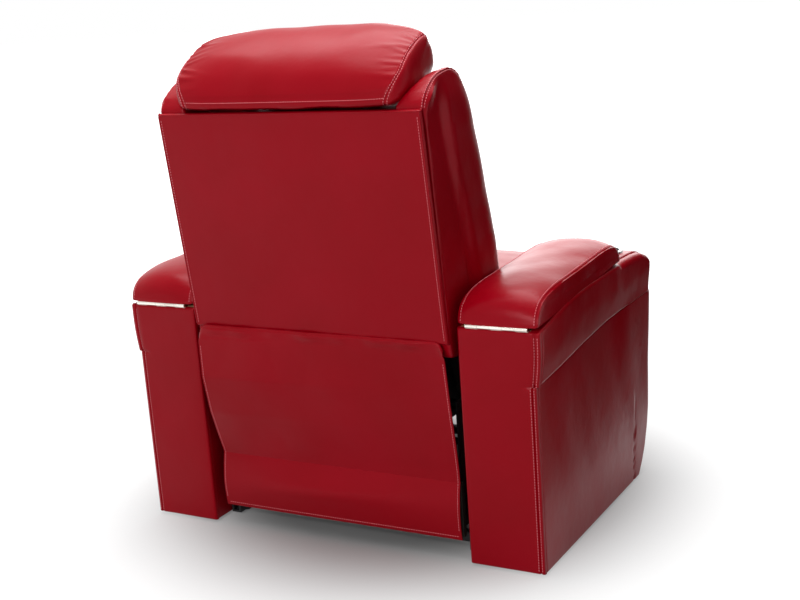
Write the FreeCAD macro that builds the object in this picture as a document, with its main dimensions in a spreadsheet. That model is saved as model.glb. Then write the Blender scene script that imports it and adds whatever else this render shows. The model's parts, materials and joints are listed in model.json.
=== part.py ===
import FreeCAD, Part
import math
import os
import Sketcher

# Reclining cinema seat: two storage arms with hinged lids, a seat that glides forward on floor rails,
# a back that tilts on a cross tube, a tilting headrest and a footrest on a parallel linkage.
# Millimetres. +Z is up, the sitter looks along -Y, and X runs across the seat.
# Places along the seat are given as a distance ahead of the rear face of the arms.

DIMENSIONS = [
    ("arm_span", 960, "outside width over the lower sides of both arms"),
    ("arm_wide", 162, "width of one arm at its foot"),
    ("arm_deep", 668, "rear face of the arm to its front"),
    ("arm_rise", 530, "height of the arm body under the front of the lid"),
    ("arm_slope", 31, "fall of the arm body from there to the hinge"),
    ("foot_gap", 15, "height of the arm glides"),
    ("hem", 5, "height of the arm covers above the floor"),
    ("board", 15, "plywood of the arm boxes"),
    ("toe_round", 40, "rounding of the arm boards over the toe"),
    ("arch_round", 300, "rounding of the arm's top line"),
    ("lower_pad", 10, "padding low on the outer side"),
    ("upper_pad", 20, "padding high on the outer side"),
    ("inner_pad", 6, "padding on the inner side"),
    ("rear_pad", 10, "padding on the rear face of an arm"),
    ("front_pad", 23, "padding over the arm front and top deck"),
    ("pleat_rear", 391, "height of the side pleat at the rear"),
    ("pleat_front", 426, "height of the side pleat towards the front"),
    ("lid_long", 456, "length of an arm lid"),
    ("lid_gap", 4, "gap under the lid"),
    ("lid_board", 12, "plywood of the lid"),
    ("lid_side", 46, "height of the lid's side at its middle"),
    ("lid_crown", 13, "crown of the lid's top"),
    ("lid_inset", 4, "lid side inside the arm's side"),
    ("hinge_long", 130, "length of a lid hinge"),
    ("knuckle_radius", 3.8, "hinge knuckle radius"),
    ("hinge_pin_radius", 1.6, "hinge pin radius"),
    ("leaf", 1.2, "hinge leaf thickness"),
    ("leaf_deep", 18, "hinge leaf depth"),
    ("bin_deep", 200, "depth of the storage bin"),
    ("bin_long", 400, "length of the storage bin"),
    ("bin_wall", 3, "wall of the storage bin"),
    ("cup_radius", 43, "inside radius of the cup holder"),
    ("cup_wall", 1.5, "wall of the cup holder"),
    ("cup_deep", 80, "depth of the cup holder"),
    ("cup_ahead", 556, "centre of the cup holder ahead of the arm's rear"),
    ("cup_flange", 7, "width of the flange round the cup"),
    ("panel_wide", 104, "width of the switch plate"),
    ("panel_long", 26, "length of the switch plate"),
    ("panel_thick", 4, "thickness of the switch plate"),
    ("button_radius", 8, "radius of a push button"),
    ("button_tall", 7, "height of a push button"),
    ("side_gap", 10, "gap between the seat and an arm"),
    ("rear_reach", 70, "headrest's reach behind the arms"),
    ("front_reach", 758, "footrest's reach ahead of the arms' rear face"),
    ("seat_top", 488, "height of the seat cushion at its sides"),
    ("seat_crown", 14, "crown of the seat cushion"),
    ("seat_rear", 252, "rear end of the seat cushion"),
    ("seat_nose", 752, "front end of the seat cushion"),
    ("nose_drop", 62, "height of the seat cushion's front roll"),
    ("frame_low", 332, "underside of the seat frame"),
    ("frame_tall", 65, "height of the seat frame boards"),
    ("frame_rear", 140, "rear of the seat frame"),
    ("frame_front", 612, "front of the seat frame"),
    ("frame_board", 20, "thickness of the seat frame boards"),
    ("spring_wire", 2, "radius of the seat spring wire"),
    ("spring_step", 24, "bend to bend distance of a seat spring"),
    ("spring_swing", 22, "half width of a seat spring's zigzag"),
    ("plate", 3, "thickness of the mechanism plates"),
    ("layer_gap", 1.5, "gap between the layers of the mechanism"),
    ("plate_gap", 31, "gap between the seat side plates and an arm"),
    ("plate_foot", 60, "underside of the side plates' feet"),
    ("rail_wide", 24, "width of a floor rail"),
    ("rail_tall", 34, "height of a floor rail"),
    ("rail_wall", 4, "floor of the rail's groove"),
    ("rail_rear", 56, "rear end of a floor rail"),
    ("rail_long", 440, "length of a floor rail"),
    ("groove", 13, "width of the rail's groove"),
    ("glide_tall", 6, "height of the rail glides"),
    ("glide_radius", 16, "radius of a floor glide"),
    ("tube_side", 20, "side of the square cross tubes"),
    ("tube_wall", 2, "wall of the tubes"),
    ("block_long", 60, "length of a guide block"),
    ("skirt", 3, "thickness of the rear skirt"),
    ("crease", 168, "height of the crease in the rear skirt"),
    ("skirt_hem", 42, "lower hem of the rear skirt"),
    ("skirt_gap", 24, "gap between the rear skirt and an arm"),
    ("back_gap", 14, "gap between the back and an arm"),
    ("back_low", 465, "lower edge of the outside back panel"),
    ("back_high", 925, "upper edge of the outside back panel"),
    ("back_foot", 10, "panel's lower edge behind the arms"),
    ("back_lean", 62, "panel's upper edge behind the arms"),
    ("back_panel", 8, "thickness of the outside back panel"),
    ("stile_deep", 60, "depth of the back frame"),
    ("stile", 18, "thickness of the back frame boards"),
    ("stile_step", 64, "back stiles inside the edge of the back panel"),
    ("cushion_low", 432, "underside of the back cushions"),
    ("lumbar_high", 636, "top of the lumbar cushion"),
    ("cushion_high", 856, "top of the upper back cushion"),
    ("cushion_crown", 18, "crown of the back cushions"),
    ("lumbar_front", 246, "front of the lumbar cushion ahead of the arms' rear"),
    ("wing_bulge", 14, "swell of the back's sides"),
    ("shoulder", 988, "height of the shoulders"),
    ("head_step", 60, "shoulder beside the headrest, in from the edge of the back panel"),
    ("head_swell", 40, "swell of the headrest's ends over the shoulders"),
    ("head_slope", 1.38, "rise of the shoulders' slope beside the headrest, for 1 mm outward"),
    ("head_high", 1082, "top of the headrest"),
    ("head_low", 936, "rear lower edge of the headrest"),
    ("head_pivot_ahead", 100, "headrest pivot ahead of the arms' rear"),
    ("head_pivot_high", 905, "height of the headrest pivot"),
    ("head_nose", 42, "radius of the headrest's lower front"),
    ("head_rod", 6, "radius of the headrest pivot rod"),
    ("recline_ahead", 110, "back pivot ahead of the arms' rear"),
    ("recline_high", 300, "height of the back pivot"),
    ("pivot_tube", 11, "radius of the back pivot tube"),
    ("recline_lug", 50, "lug radius on the back pivot tube"),
    ("recline_half", 19, "half of the recline angle in degrees"),
    ("crank", 215, "pivot distance of the footrest cranks"),
    ("crank_angle", 45, "crank angle behind straight down, in degrees"),
    ("crank_ahead", 500, "front crank pivot ahead of the arms' rear"),
    ("crank_apart", 120, "distance between the crank pivots"),
    ("crank_high", 310, "height of the crank pivots"),
    ("drive_tube", 12, "radius of the footrest drive tube"),
    ("strap", 12, "half width of the mechanism links"),
    ("rivet", 5, "radius of the mechanism rivets"),
    ("running", 0.05, "radial clearance of a running pivot"),
    ("board_behind", 15, "footrest pivot behind the footrest board"),
    ("rest_pivot_high", 350, "height of the footrest pivot"),
    ("ear", 50, "drag link offset"),
    ("ear_angle", 253.5, "direction of the drag link offset in degrees"),
    ("drive_lug", 55, "lug radius on the drive tube"),
    ("rest_low", 65, "lower edge of the footrest pad"),
    ("rest_high", 415, "upper edge of the footrest pad"),
    ("rest_gap", 16, "gap between the footrest pad and the line of an arm"),
    ("rest_pad", 60, "thickness of the footrest pad"),
    ("rest_board", 15, "thickness of the footrest board"),
    ("motor_radius", 21, "radius of the drive motors"),
    ("rod_radius", 6, "radius of the actuator rods"),
    ("sleeve_radius", 14, "radius of the actuator sleeves"),
    ("drive_off", 60, "actuators' distance from the middle"),
]

doc = FreeCAD.newDocument("cinema_seat")
sheet = doc.addObject("Spreadsheet::Sheet", "dims")
for row, (alias, value, meaning) in enumerate(DIMENSIONS, start=1):
    sheet.set(f"A{row}", alias)
    sheet.set(f"B{row}", str(value))
    sheet.setAlias(f"B{row}", alias)
    sheet.set(f"C{row}", meaning)
doc.recompute()

PARTS = []


class Size:
    """A number together with the spreadsheet formula that gives it."""

    def __init__(self, value, formula):
        self.value = float(value)
        self.formula = formula

    @staticmethod
    def of(thing):
        return thing if isinstance(thing, Size) else Size(thing, repr(float(thing)))

    def joined(self, other, sign, value):
        return Size(value, f"({self.formula} {sign} {Size.of(other).formula})")

    def __add__(self, other):
        return self.joined(other, "+", self.value + Size.of(other).value)

    def __sub__(self, other):
        return self.joined(other, "-", self.value - Size.of(other).value)

    def __mul__(self, other):
        return self.joined(other, "*", self.value * Size.of(other).value)

    def __truediv__(self, other):
        return self.joined(other, "/", self.value / Size.of(other).value)

    def __radd__(self, other):
        return Size.of(other) + self

    def __rsub__(self, other):
        return Size.of(other) - self

    def __rmul__(self, other):
        return Size.of(other) * self

    def __neg__(self):
        return Size(-self.value, f"(0 - {self.formula})")


class Sheet:
    """Each spreadsheet alias as an attribute that holds a Size."""

    def __getattr__(self, alias):
        return Size(sheet.get(alias), f"dims.{alias}")


d = Sheet()


def sine(degrees):
    return Size(math.sin(math.radians(degrees.value)), f"sin({degrees.formula} * 1 deg)")


def cosine(degrees):
    return Size(math.cos(math.radians(degrees.value)), f"cos({degrees.formula} * 1 deg)")


# Sizes that several pieces share.
rear_y = (d.front_reach - d.rear_reach) / 2
half_span = d.arm_span / 2
inner_face = half_span - d.arm_wide
seat_half = inner_face - d.side_gap
back_half = inner_face - d.back_gap
arm_rise_rear = d.arm_rise - d.arm_slope
plate_out = inner_face - d.plate_gap
skirt_half = inner_face - d.skirt_gap
stile_out = back_half - d.stile_step
head_half = back_half - d.head_step
rest_half = inner_face - d.rest_gap
tilt = (d.back_lean - d.back_foot) / (d.back_high - d.back_low)


def y_of(ahead):
    """Y of a place given as a distance ahead of the arms' rear face."""
    return rear_y - ahead


def back_face(height):
    """How far ahead of the arms' rear the leaning rear face of the back is, at a height."""
    return -(d.back_foot + (height - d.back_low) * tilt)


def bind(thing, path, size):
    thing.setExpression(path, Size.of(size).formula)


def new(kind, name):
    return doc.addObject(kind, name)


def keep(thing, label):
    """Marks a finished sub-part, whose label names its file."""
    thing.Label = label
    PARTS.append(thing)
    return thing


def block(x, ahead, z, name="Block"):
    """A box between two places on each axis."""
    thing = new("Part::Box", name)
    bind(thing, "Length", x[1] - x[0])
    bind(thing, "Width", ahead[1] - ahead[0])
    bind(thing, "Height", z[1] - z[0])
    bind(thing, "Placement.Base.x", x[0])
    bind(thing, "Placement.Base.y", y_of(ahead[1]))
    bind(thing, "Placement.Base.z", z[0])
    return thing


TURNS = {
    "x": FreeCAD.Rotation(FreeCAD.Vector(0, 1, 0), 90),
    "y": FreeCAD.Rotation(FreeCAD.Vector(1, 0, 0), 90),
    "z": FreeCAD.Rotation(),
}


def rod(axis, start, length, radius, name="Rod"):
    """A cylinder. start is (x, ahead, z) of its low end, or of its rear end where it runs along the seat."""
    thing = new("Part::Cylinder", name)
    thing.Placement = FreeCAD.Placement(FreeCAD.Vector(), TURNS[axis])
    bind(thing, "Radius", radius)
    bind(thing, "Height", length)
    bind(thing, "Placement.Base.x", start[0])
    bind(thing, "Placement.Base.y", y_of(start[1]))
    bind(thing, "Placement.Base.z", start[2])
    return thing


def cut(base, *tools):
    for tool in tools:
        made = new("Part::Cut", "Cut")
        made.Base = base
        made.Tool = tool
        base = made
    return base


def fuse(*things):
    made = new("Part::MultiFuse", "Fuse")
    made.Shapes = list(things)
    return made


def group(*things):
    """Separate solids in one object."""
    made = new("Part::Compound", "Group")
    made.Links = list(things)
    return made


def pipe(axis, start, length, radius, bore, name="Pipe"):
    """A cylinder with a bore right through it."""
    return cut(rod(axis, start, length, radius, name), rod(axis, start, length, bore, name + "Bore"))


def origin_plane(body, role):
    return next(f for f in body.Origin.OriginFeatures if f.Role == role)


def side_body(x_out, name):
    """A body whose own X runs inwards from x_out, Y forwards from the object's rear end and Z up."""
    body = new("PartDesign::Body", name)
    turn = FreeCAD.Rotation(FreeCAD.Vector(0, 0, 1), 180)
    body.Placement = FreeCAD.Placement(FreeCAD.Vector(), turn)
    bind(body, "Placement.Base.x", x_out)
    bind(body, "Placement.Base.y", y_of(-d.rear_reach))
    return body


def side_sketch(body, name):
    sketch = body.newObject("Sketcher::SketchObject", name)
    sketch.AttachmentSupport = [(origin_plane(body, "YZ_Plane"), "")]
    sketch.MapMode = "FlatFace"
    return sketch


def pin_point(sketch, geometry, end, across, up):
    """Ties a point of the sketch to two sizes measured from its origin."""
    for kind, size in (("DistanceX", across), ("DistanceY", up)):
        index = sketch.addConstraint(Sketcher.Constraint(kind, -1, 1, geometry, end, size.value))
        bind(sketch, f"Constraints[{index}]", size)


def polygon(sketch, corners):
    """Closed outline through corners (ahead, z)."""
    local = [(Size.of(a) + d.rear_reach, Size.of(z)) for a, z in corners]
    points = [FreeCAD.Vector(a.value, z.value, 0) for a, z in local]
    for i, point in enumerate(points):
        sketch.addGeometry(Part.LineSegment(point, points[(i + 1) % len(points)]), False)
    for i in range(len(points)):
        sketch.addConstraint(Sketcher.Constraint("Coincident", i, 2, (i + 1) % len(points), 1))
    for i, (a, z) in enumerate(local):
        pin_point(sketch, i, 1, a, z)


def strap_outline(sketch, first, second, half):
    """A strap with round ends about two pivots (ahead, z)."""
    ends = [(Size.of(a) + d.rear_reach, Size.of(z)) for a, z in (first, second)]
    one, two = (FreeCAD.Vector(a.value, z.value, 0) for a, z in ends)
    along = (two - one).normalize()
    side = FreeCAD.Vector(-along.y, along.x, 0) * half.value
    heading = math.atan2(along.y, along.x)
    up = FreeCAD.Vector(0, 0, 1)
    quarter = math.pi / 2
    shapes = [
        Part.LineSegment(one - side, two - side),
        Part.ArcOfCircle(Part.Circle(two, up, half.value), heading - quarter, heading + quarter),
        Part.LineSegment(two + side, one + side),
        Part.ArcOfCircle(Part.Circle(one, up, half.value), heading + quarter, heading + 3 * quarter),
    ]
    sketch.addGeometry(shapes, False)
    for i in range(4):
        sketch.addConstraint(Sketcher.Constraint("Tangent", i, 2, (i + 1) % 4, 1))
    pin_point(sketch, 1, 3, *ends[1])
    pin_point(sketch, 3, 3, *ends[0])
    for arc in (1, 3):
        index = sketch.addConstraint(Sketcher.Constraint("Radius", arc, half.value))
        bind(sketch, f"Constraints[{index}]", half)


def circles(sketch, holes):
    """Round holes (ahead, z, radius)."""
    for number, (a, z, radius) in enumerate(holes):
        a = Size.of(a) + d.rear_reach
        centre = FreeCAD.Vector(a.value, Size.of(z).value, 0)
        sketch.addGeometry(Part.Circle(centre, FreeCAD.Vector(0, 0, 1), Size.of(radius).value), False)
        pin_point(sketch, number, 3, a, Size.of(z))
        index = sketch.addConstraint(Sketcher.Constraint("Radius", number, Size.of(radius).value))
        bind(sketch, f"Constraints[{index}]", radius)


def pad(body, sketch, thick):
    made = body.newObject("PartDesign::Pad", "Pad")
    made.Profile = sketch
    bind(made, "Length", thick)
    return made


def drill(body, holes):
    """Cuts round holes through the whole body."""
    sketch = side_sketch(body, "Holes")
    circles(sketch, holes)
    made = body.newObject("PartDesign::Pocket", "Drill")
    made.Profile = sketch
    made.Type = 1
    made.Midplane = True
    body.Tip = made
    return made


def slab(corners, x, rounds=(), holes=(), name="Slab"):
    """A flat piece with its outline seen from the side. rounds gives (corner number, radius)."""
    body = side_body(x[1], name)
    sketch = side_sketch(body, "Outline")
    polygon(sketch, corners)
    last = pad(body, sketch, x[1] - x[0])
    doc.recompute()
    for number, radius in rounds:
        a, z = (Size.of(n).value for n in corners[number])
        a += d.rear_reach.value
        names = []
        for i, edge in enumerate(last.Shape.Edges, start=1):
            if len(edge.Vertexes) == 2 and all(
                abs(v.Y - a) < 0.01 and abs(v.Z - z) < 0.01 for v in edge.Vertexes
            ):
                names.append(f"Edge{i}")
        rounding = body.newObject("PartDesign::Fillet", "Round")
        rounding.Base = (last, names)
        bind(rounding, "Radius", radius)
        doc.recompute()
        last = rounding
    if holes:
        drill(body, holes)
    return body


def strap(pivots, x, half, bores, name="Strap"):
    """Mechanism link through pivots (ahead, z), each with a bore of its own radius."""
    body = side_body(x[1], name)
    for first, second in zip(pivots, pivots[1:]):
        sketch = side_sketch(body, "Strap")
        strap_outline(sketch, first, second, half)
        pad(body, sketch, x[1] - x[0])
    holes = [(a, z, bore) for (a, z), bore in zip(pivots, bores) if bore is not None]
    if holes:
        drill(body, holes)
    return body


def both(make):
    """The same piece at the left (+X) and the right (-X), as one object of separate solids."""
    return group(make(1), make(-1))


def span(side, near, far):
    """X range of something between two distances from the middle, on one side."""
    return (near, far) if side > 0 else (-Size.of(far), -Size.of(near))


def loft(sections, name):
    """A solid through closed wires, with flat strips between them."""
    made = new("Part::Feature", name)
    made.Shape = Part.makeLoft(sections, True, True)
    return made


def across_section(ahead, x0, x1, low, side, crown):
    """Upright section across the seat: flat below, straight sides and an arched top."""
    y = y_of(ahead).value
    corners = [FreeCAD.Vector(x, y, z) for x, z in ((x0, low), (x1, low), (x1, side), (x0, side))]
    top = FreeCAD.Vector((x0 + x1) / 2, y, crown)
    return Part.Wire(
        [
            Part.makeLine(corners[0], corners[1]),
            Part.makeLine(corners[1], corners[2]),
            Part.Arc(corners[2], top, corners[3]).toShape(),
            Part.makeLine(corners[3], corners[0]),
        ]
    )


def level_section(height, half, rear, front, crown):
    """Level section through a back cushion: flat rear, straight sides and an arched front."""
    points = [(-half, rear), (half, rear), (half, front - crown), (-half, front - crown)]
    corners = [FreeCAD.Vector(x, y_of(a).value, height) for x, a in points]
    middle = FreeCAD.Vector(0, y_of(front).value, height)
    return Part.Wire(
        [
            Part.makeLine(corners[0], corners[1]),
            Part.makeLine(corners[1], corners[2]),
            Part.Arc(corners[2], middle, corners[3]).toShape(),
            Part.makeLine(corners[3], corners[0]),
        ]
    )


# Floor rails, cross tubes, glides and the arm mounting blocks
rail_in = plate_out + 3
rail_x = (rail_in, rail_in + d.rail_wide)
rail_z = (d.glide_tall, d.glide_tall + d.rail_tall)
groove_x = ((rail_x[0] + rail_x[1] - d.groove) / 2, (rail_x[0] + rail_x[1] + d.groove) / 2)
rail_ahead = (d.rail_rear, d.rail_rear + d.rail_long)


def side_rail(side):
    body = block(span(side, *rail_x), rail_ahead, rail_z, "Rail")
    tool = block(span(side, *groove_x), rail_ahead, (rail_z[0] + d.rail_wall, rail_z[1] + 1), "Groove")
    return cut(body, tool)


keep(both(side_rail), "base_side_rails")

tube_low = d.glide_tall + 6
tube_places = (d.rail_rear + 24, d.rail_rear + d.rail_long - 50)


def cross_tube(ahead):
    outer = block((-rail_in, rail_in), (ahead, ahead + d.tube_side), (tube_low, tube_low + d.tube_side))
    hollow_ahead = (ahead + d.tube_wall, ahead + d.tube_side - d.tube_wall)
    hollow_z = (tube_low + d.tube_wall, tube_low + d.tube_side - d.tube_wall)
    return cut(outer, block((-rail_in, rail_in), hollow_ahead, hollow_z, "Hollow"))


keep(group(*(cross_tube(place) for place in tube_places)), "base_cross_tubes")

board_in = inner_face + d.inner_pad
board_out = half_span - d.lower_pad
board_rear = d.rear_pad
board_front = d.arm_deep - d.front_pad
rail_middle = (rail_x[0] + rail_x[1]) / 2
glide_rows = (board_rear + 45, board_front - 145)
glides = []
for side in (1, -1):
    for ahead in glide_rows:
        for x in (board_in + d.glide_radius + 6, board_out - d.glide_radius - 6):
            glides.append(rod("z", (side * x, ahead, 0), d.foot_gap, d.glide_radius, "ArmGlide"))
    for ahead in (rail_ahead[0] + 40, rail_ahead[1] - 40):
        small = d.rail_wide / 2 - 2
        glides.append(rod("z", (side * rail_middle, ahead, 0), d.glide_tall, small, "RailGlide"))
keep(group(*glides), "floor_glides")

link_ahead = ((d.rail_rear + 60, d.rail_rear + 120), (rail_ahead[1] - 130, rail_ahead[1] - 70))
blocks = []
for side in (1, -1):
    for ahead in link_ahead:
        x = span(side, rail_x[1], board_in)
        blocks.append(block(x, ahead, (d.foot_gap + 1, rail_z[1] - 2), "MountingBlock"))
keep(group(*blocks), "arm_mounting_blocks")

# Mains adapter on the front cross tube, with the recess of its inlet
adapter_ahead = (tube_places[1] - 30, tube_places[1] + 50)
adapter_z = (tube_low + d.tube_side, tube_low + d.tube_side + 40)
adapter = block((Size.of(-70), Size.of(70)), adapter_ahead, adapter_z, "Adapter")
inlet_ahead = (adapter_ahead[0], adapter_ahead[0] + 14)
inlet = block((Size.of(-12), Size.of(12)), inlet_ahead, (adapter_z[0] + 12, adapter_z[0] + 28), "Inlet")
keep(cut(adapter, inlet), "power_adapter")

# Arm boxes
arch_ahead = d.lid_long * 0.33
arch_high = d.arm_rise - (d.arm_rise - arm_rise_rear) * 0.22
deck_low = d.arm_rise - d.front_pad + 3
lid_end = d.lid_long + 3
toe_high = d.hem + 150


def toe(height):
    """Where the arm's boards and side covers end ahead, at a height below the start of the toe."""
    return board_front - (toe_high - height) * 0.67


side_outline = [
    (board_rear + d.board, d.foot_gap),
    (board_rear + d.board, arm_rise_rear - 3),
    (arch_ahead, arch_high - 3),
    (d.lid_long * 0.62, d.arm_rise - 3),
    (lid_end, d.arm_rise - 3),
    (lid_end, deck_low),
    (board_front, deck_low),
    (board_front, toe_high),
    (toe(d.foot_gap), d.foot_gap),
]


def side_boards(side):
    rounds = ((6, d.toe_round), (2, d.arch_round))
    inner = slab(side_outline, span(side, board_in, board_in + d.board), rounds, name="InnerBoard")
    outer = slab(side_outline, span(side, board_out - d.board, board_out), rounds, name="OuterBoard")
    return inner, outer


keep(group(*side_boards(1), *side_boards(-1)), "arm_side_boards")


def end_boards(side):
    x = span(side, board_in, board_out)
    between = span(side, board_in + d.board, board_out - d.board)
    rear = block(x, (board_rear, board_rear + d.board), (d.foot_gap, arm_rise_rear), "RearBoard")
    ahead = (board_front - d.board - 2, board_front - 2)
    front = block(between, ahead, (toe_high, deck_low - 44), "FrontBoard")
    floor_ahead = (board_rear + d.board, board_front - 100)
    floor = block(between, floor_ahead, (d.foot_gap, d.foot_gap + d.board), "FloorBoard")
    return rear, front, floor


keep(group(*end_boards(1), *end_boards(-1)), "arm_end_boards")

# Storage bins, open at the top
bin_x = (board_in + d.board + 2, board_out - d.board - 2)
bin_ahead = (board_rear + d.board + 2, board_rear + d.board + 2 + d.bin_long)
bin_z = (arm_rise_rear - 6 - d.bin_deep, arm_rise_rear - 6)


def storage_bin(side):
    outer = block(span(side, *bin_x), bin_ahead, bin_z, "Bin")
    x = span(side, bin_x[0] + d.bin_wall, bin_x[1] - d.bin_wall)
    ahead = (bin_ahead[0] + d.bin_wall, bin_ahead[1] - d.bin_wall)
    return cut(outer, block(x, ahead, (bin_z[0] + d.bin_wall, bin_z[1] + 1), "BinHollow"))


keep(both(storage_bin), "arm_storage_bins")

# Front pads, which wrap from the top deck over the arm's front and under it
pad_x = (inner_face, half_span + d.upper_pad - d.lower_pad)
arm_middle = (pad_x[0] + pad_x[1]) / 2
cup_outer = d.cup_radius + d.cup_wall
front_outline = [
    (lid_end, deck_low + 0.3),
    (lid_end, d.arm_rise + 4),
    (d.arm_deep - 62, d.arm_rise - 1),
    (d.arm_deep - 2, d.arm_rise - 12),
    (d.arm_deep - 12, toe_high),
    (d.arm_deep - 96, d.hem),
    (toe(d.foot_gap) + 0.5, d.foot_gap),
    (board_front + 0.5, toe_high),
    (board_front + 0.5, deck_low + 0.3),
]
front_rounds = ((2, Size.of(60)), (3, Size.of(46)), (4, Size.of(120)))
panel_ahead = (lid_end + 6, lid_end + 6 + d.panel_long)
panel_x = span(-1, arm_middle - d.panel_wide / 2, arm_middle + d.panel_wide / 2)


def deck_hole(side, radius, low, high):
    return rod("z", (side * arm_middle, d.cup_ahead, low), high - low, radius, "CupHole")


def front_pad(side):
    body = slab(front_outline, span(side, *pad_x), front_rounds, name="FrontPad")
    made = cut(body, deck_hole(side, cup_outer + 0.3, deck_low - 1, d.arm_rise + 12))
    if side > 0:
        return made
    recess = block(panel_x, panel_ahead, (deck_low - 1, d.arm_rise + 12), "PanelRecess")
    return cut(made, recess)


keep(both(front_pad), "arm_front_pads")

# Cup holders hang in the deck by their flange
deck_top = d.arm_rise + 4.2
cup_z = (deck_top - d.cup_deep, deck_top)


def cup(side):
    wall = deck_hole(side, cup_outer, cup_z[0], cup_z[1])
    flange = deck_hole(side, cup_outer + d.cup_flange, cup_z[1], cup_z[1] + d.cup_wall)
    return cut(fuse(wall, flange), deck_hole(side, d.cup_radius, cup_z[0] + d.cup_wall, cup_z[1] + 5))


keep(both(cup), "cup_holders")


# Switch plate and its four push buttons, in the right arm's deck
panel_z = (deck_top - d.panel_thick, deck_top)
button_ahead = (panel_ahead[0] + panel_ahead[1]) / 2
button_names = ("recline_button", "upright_button", "headrest_forward_button", "headrest_back_button")
button_pitch = d.panel_wide / len(button_names)
button_x = [panel_x[0] + button_pitch * (i + 0.5) for i in range(len(button_names))]
switch_x = (panel_x[0] + 0.3, panel_x[1] - 0.3)
plate_body = block(switch_x, (panel_ahead[0] + 0.3, panel_ahead[1] - 0.3), panel_z)
wells = [
    rod("z", (x, button_ahead, panel_z[0] - 1), d.panel_thick + 2, d.button_radius + 0.3, "ButtonWell")
    for x in button_x
]
keep(cut(plate_body, *wells), "control_panel")
for x, label in zip(button_x, button_names):
    keep(rod("z", (x, button_ahead, panel_z[1] + 1.6 - d.button_tall), d.button_tall, d.button_radius), label)

# Side covers: a thin lower pad and a fuller upper pad that meet in a pleat
pleat_gap = Size.of(1)


def lower_cover(side):
    corners = [
        (d.rear_pad, d.hem),
        (d.rear_pad, d.pleat_rear),
        (d.arm_deep * 0.36, (d.pleat_rear + d.pleat_front) / 2 + 4),
        (d.arm_deep * 0.62, d.pleat_front),
        (board_front, d.pleat_front),
        (board_front, toe_high),
        (toe(d.hem), d.hem),
    ]
    return slab(corners, span(side, board_out, half_span), name="LowerCover")


def upper_cover(side):
    outer = half_span + d.upper_pad - d.lower_pad
    corners = [
        (d.rear_pad, d.pleat_rear + pleat_gap),
        (d.rear_pad, arm_rise_rear),
        (arch_ahead, arch_high),
        (d.lid_long * 0.62, d.arm_rise),
        (lid_end - 1, d.arm_rise),
        (lid_end - 1, deck_low),
        (board_front, deck_low),
        (board_front, d.pleat_front + pleat_gap),
        (d.arm_deep * 0.62, d.pleat_front + pleat_gap),
        (d.arm_deep * 0.36, (d.pleat_rear + d.pleat_front) / 2 + 4 + pleat_gap),
    ]
    return slab(corners, span(side, board_out, outer), ((2, d.arch_round),), name="UpperCover")


keep(both(lower_cover), "arm_lower_side_pads")
keep(both(upper_cover), "arm_upper_side_pads")


def rear_cover(side):
    low = block(span(side, inner_face, half_span), (Size.of(0), d.rear_pad), (d.hem, d.pleat_rear), "RearPad")
    x = span(side, inner_face, half_span + d.upper_pad - d.lower_pad)
    high = block(x, (Size.of(0), d.rear_pad), (d.pleat_rear, arm_rise_rear), "RearPad")
    return fuse(low, high)


keep(both(rear_cover), "arm_rear_pads")


def inner_cover(side):
    corners = [
        (d.rear_pad, rail_z[1] + 5),
        (d.rear_pad, arm_rise_rear),
        (arch_ahead, arch_high),
        (d.lid_long * 0.62, d.arm_rise),
        (lid_end - 1, d.arm_rise),
        (lid_end - 1, deck_low),
        (board_front, deck_low),
        (board_front, toe_high),
        (toe(rail_z[1] + 5), rail_z[1] + 5),
    ]
    return slab(corners, span(side, inner_face, board_in), ((2, d.arch_round),), name="InnerCover")


keep(both(inner_cover), "arm_inner_pads")

# Arm lids: curved board, crowned cushion, and a continuous hinge at the rear
lid_x = (pad_x[0] + d.lid_inset, pad_x[1] - d.lid_inset / 2)
hinge_z = arm_rise_rear + d.knuckle_radius + 0.5
hinge_ahead = -d.knuckle_radius / 2
lid_low_rear = arm_rise_rear + d.lid_gap + 2 * d.leaf


def lid_underside(ahead):
    """Height of the lid's underside at a place along it."""
    low, high = lid_low_rear.value, (d.arm_rise + d.lid_gap).value
    length = d.lid_long.value * 0.6
    share = min(1.0, max(0.0, ahead / length))
    return low + (high - low) * (1 - (1 - share) ** 2)


lid_corners = [
    (Size.of(6), lid_low_rear + 2),
    (arch_ahead, lid_low_rear + 2 + (d.arm_rise + d.lid_gap - lid_low_rear) * 0.8),
    (d.lid_long * 0.62, d.arm_rise + d.lid_gap + 2),
    (d.lid_long - 8, d.arm_rise + d.lid_gap + 2),
    (d.lid_long - 8, d.arm_rise + d.lid_gap + 2 + d.lid_board),
    (d.lid_long * 0.62, d.arm_rise + d.lid_gap + 2 + d.lid_board),
    (arch_ahead, lid_low_rear + 2 + d.lid_board + (d.arm_rise + d.lid_gap - lid_low_rear) * 0.8),
    (Size.of(6), lid_low_rear + 2 + d.lid_board),
]


def lid_board(side):
    x = span(side, lid_x[0] + 6, lid_x[1] - 6)
    return slab(lid_corners, x, name="LidBoard")


upper_leaf_z = (lid_low_rear + 2 - d.leaf, lid_low_rear + 2)
lower_leaf_z = (arm_rise_rear, arm_rise_rear + d.leaf)


def hinge_room(side):
    """Notch in the rear of a lid's cover for its hinge."""
    start = side * arm_middle - d.hinge_long / 2 - 0.5
    return block((start, start + d.hinge_long + 1), (Size.of(-8), Size.of(7)),
                 (lid_low_rear - 3, upper_leaf_z[1] + 0.6), "HingeRoom")


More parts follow.
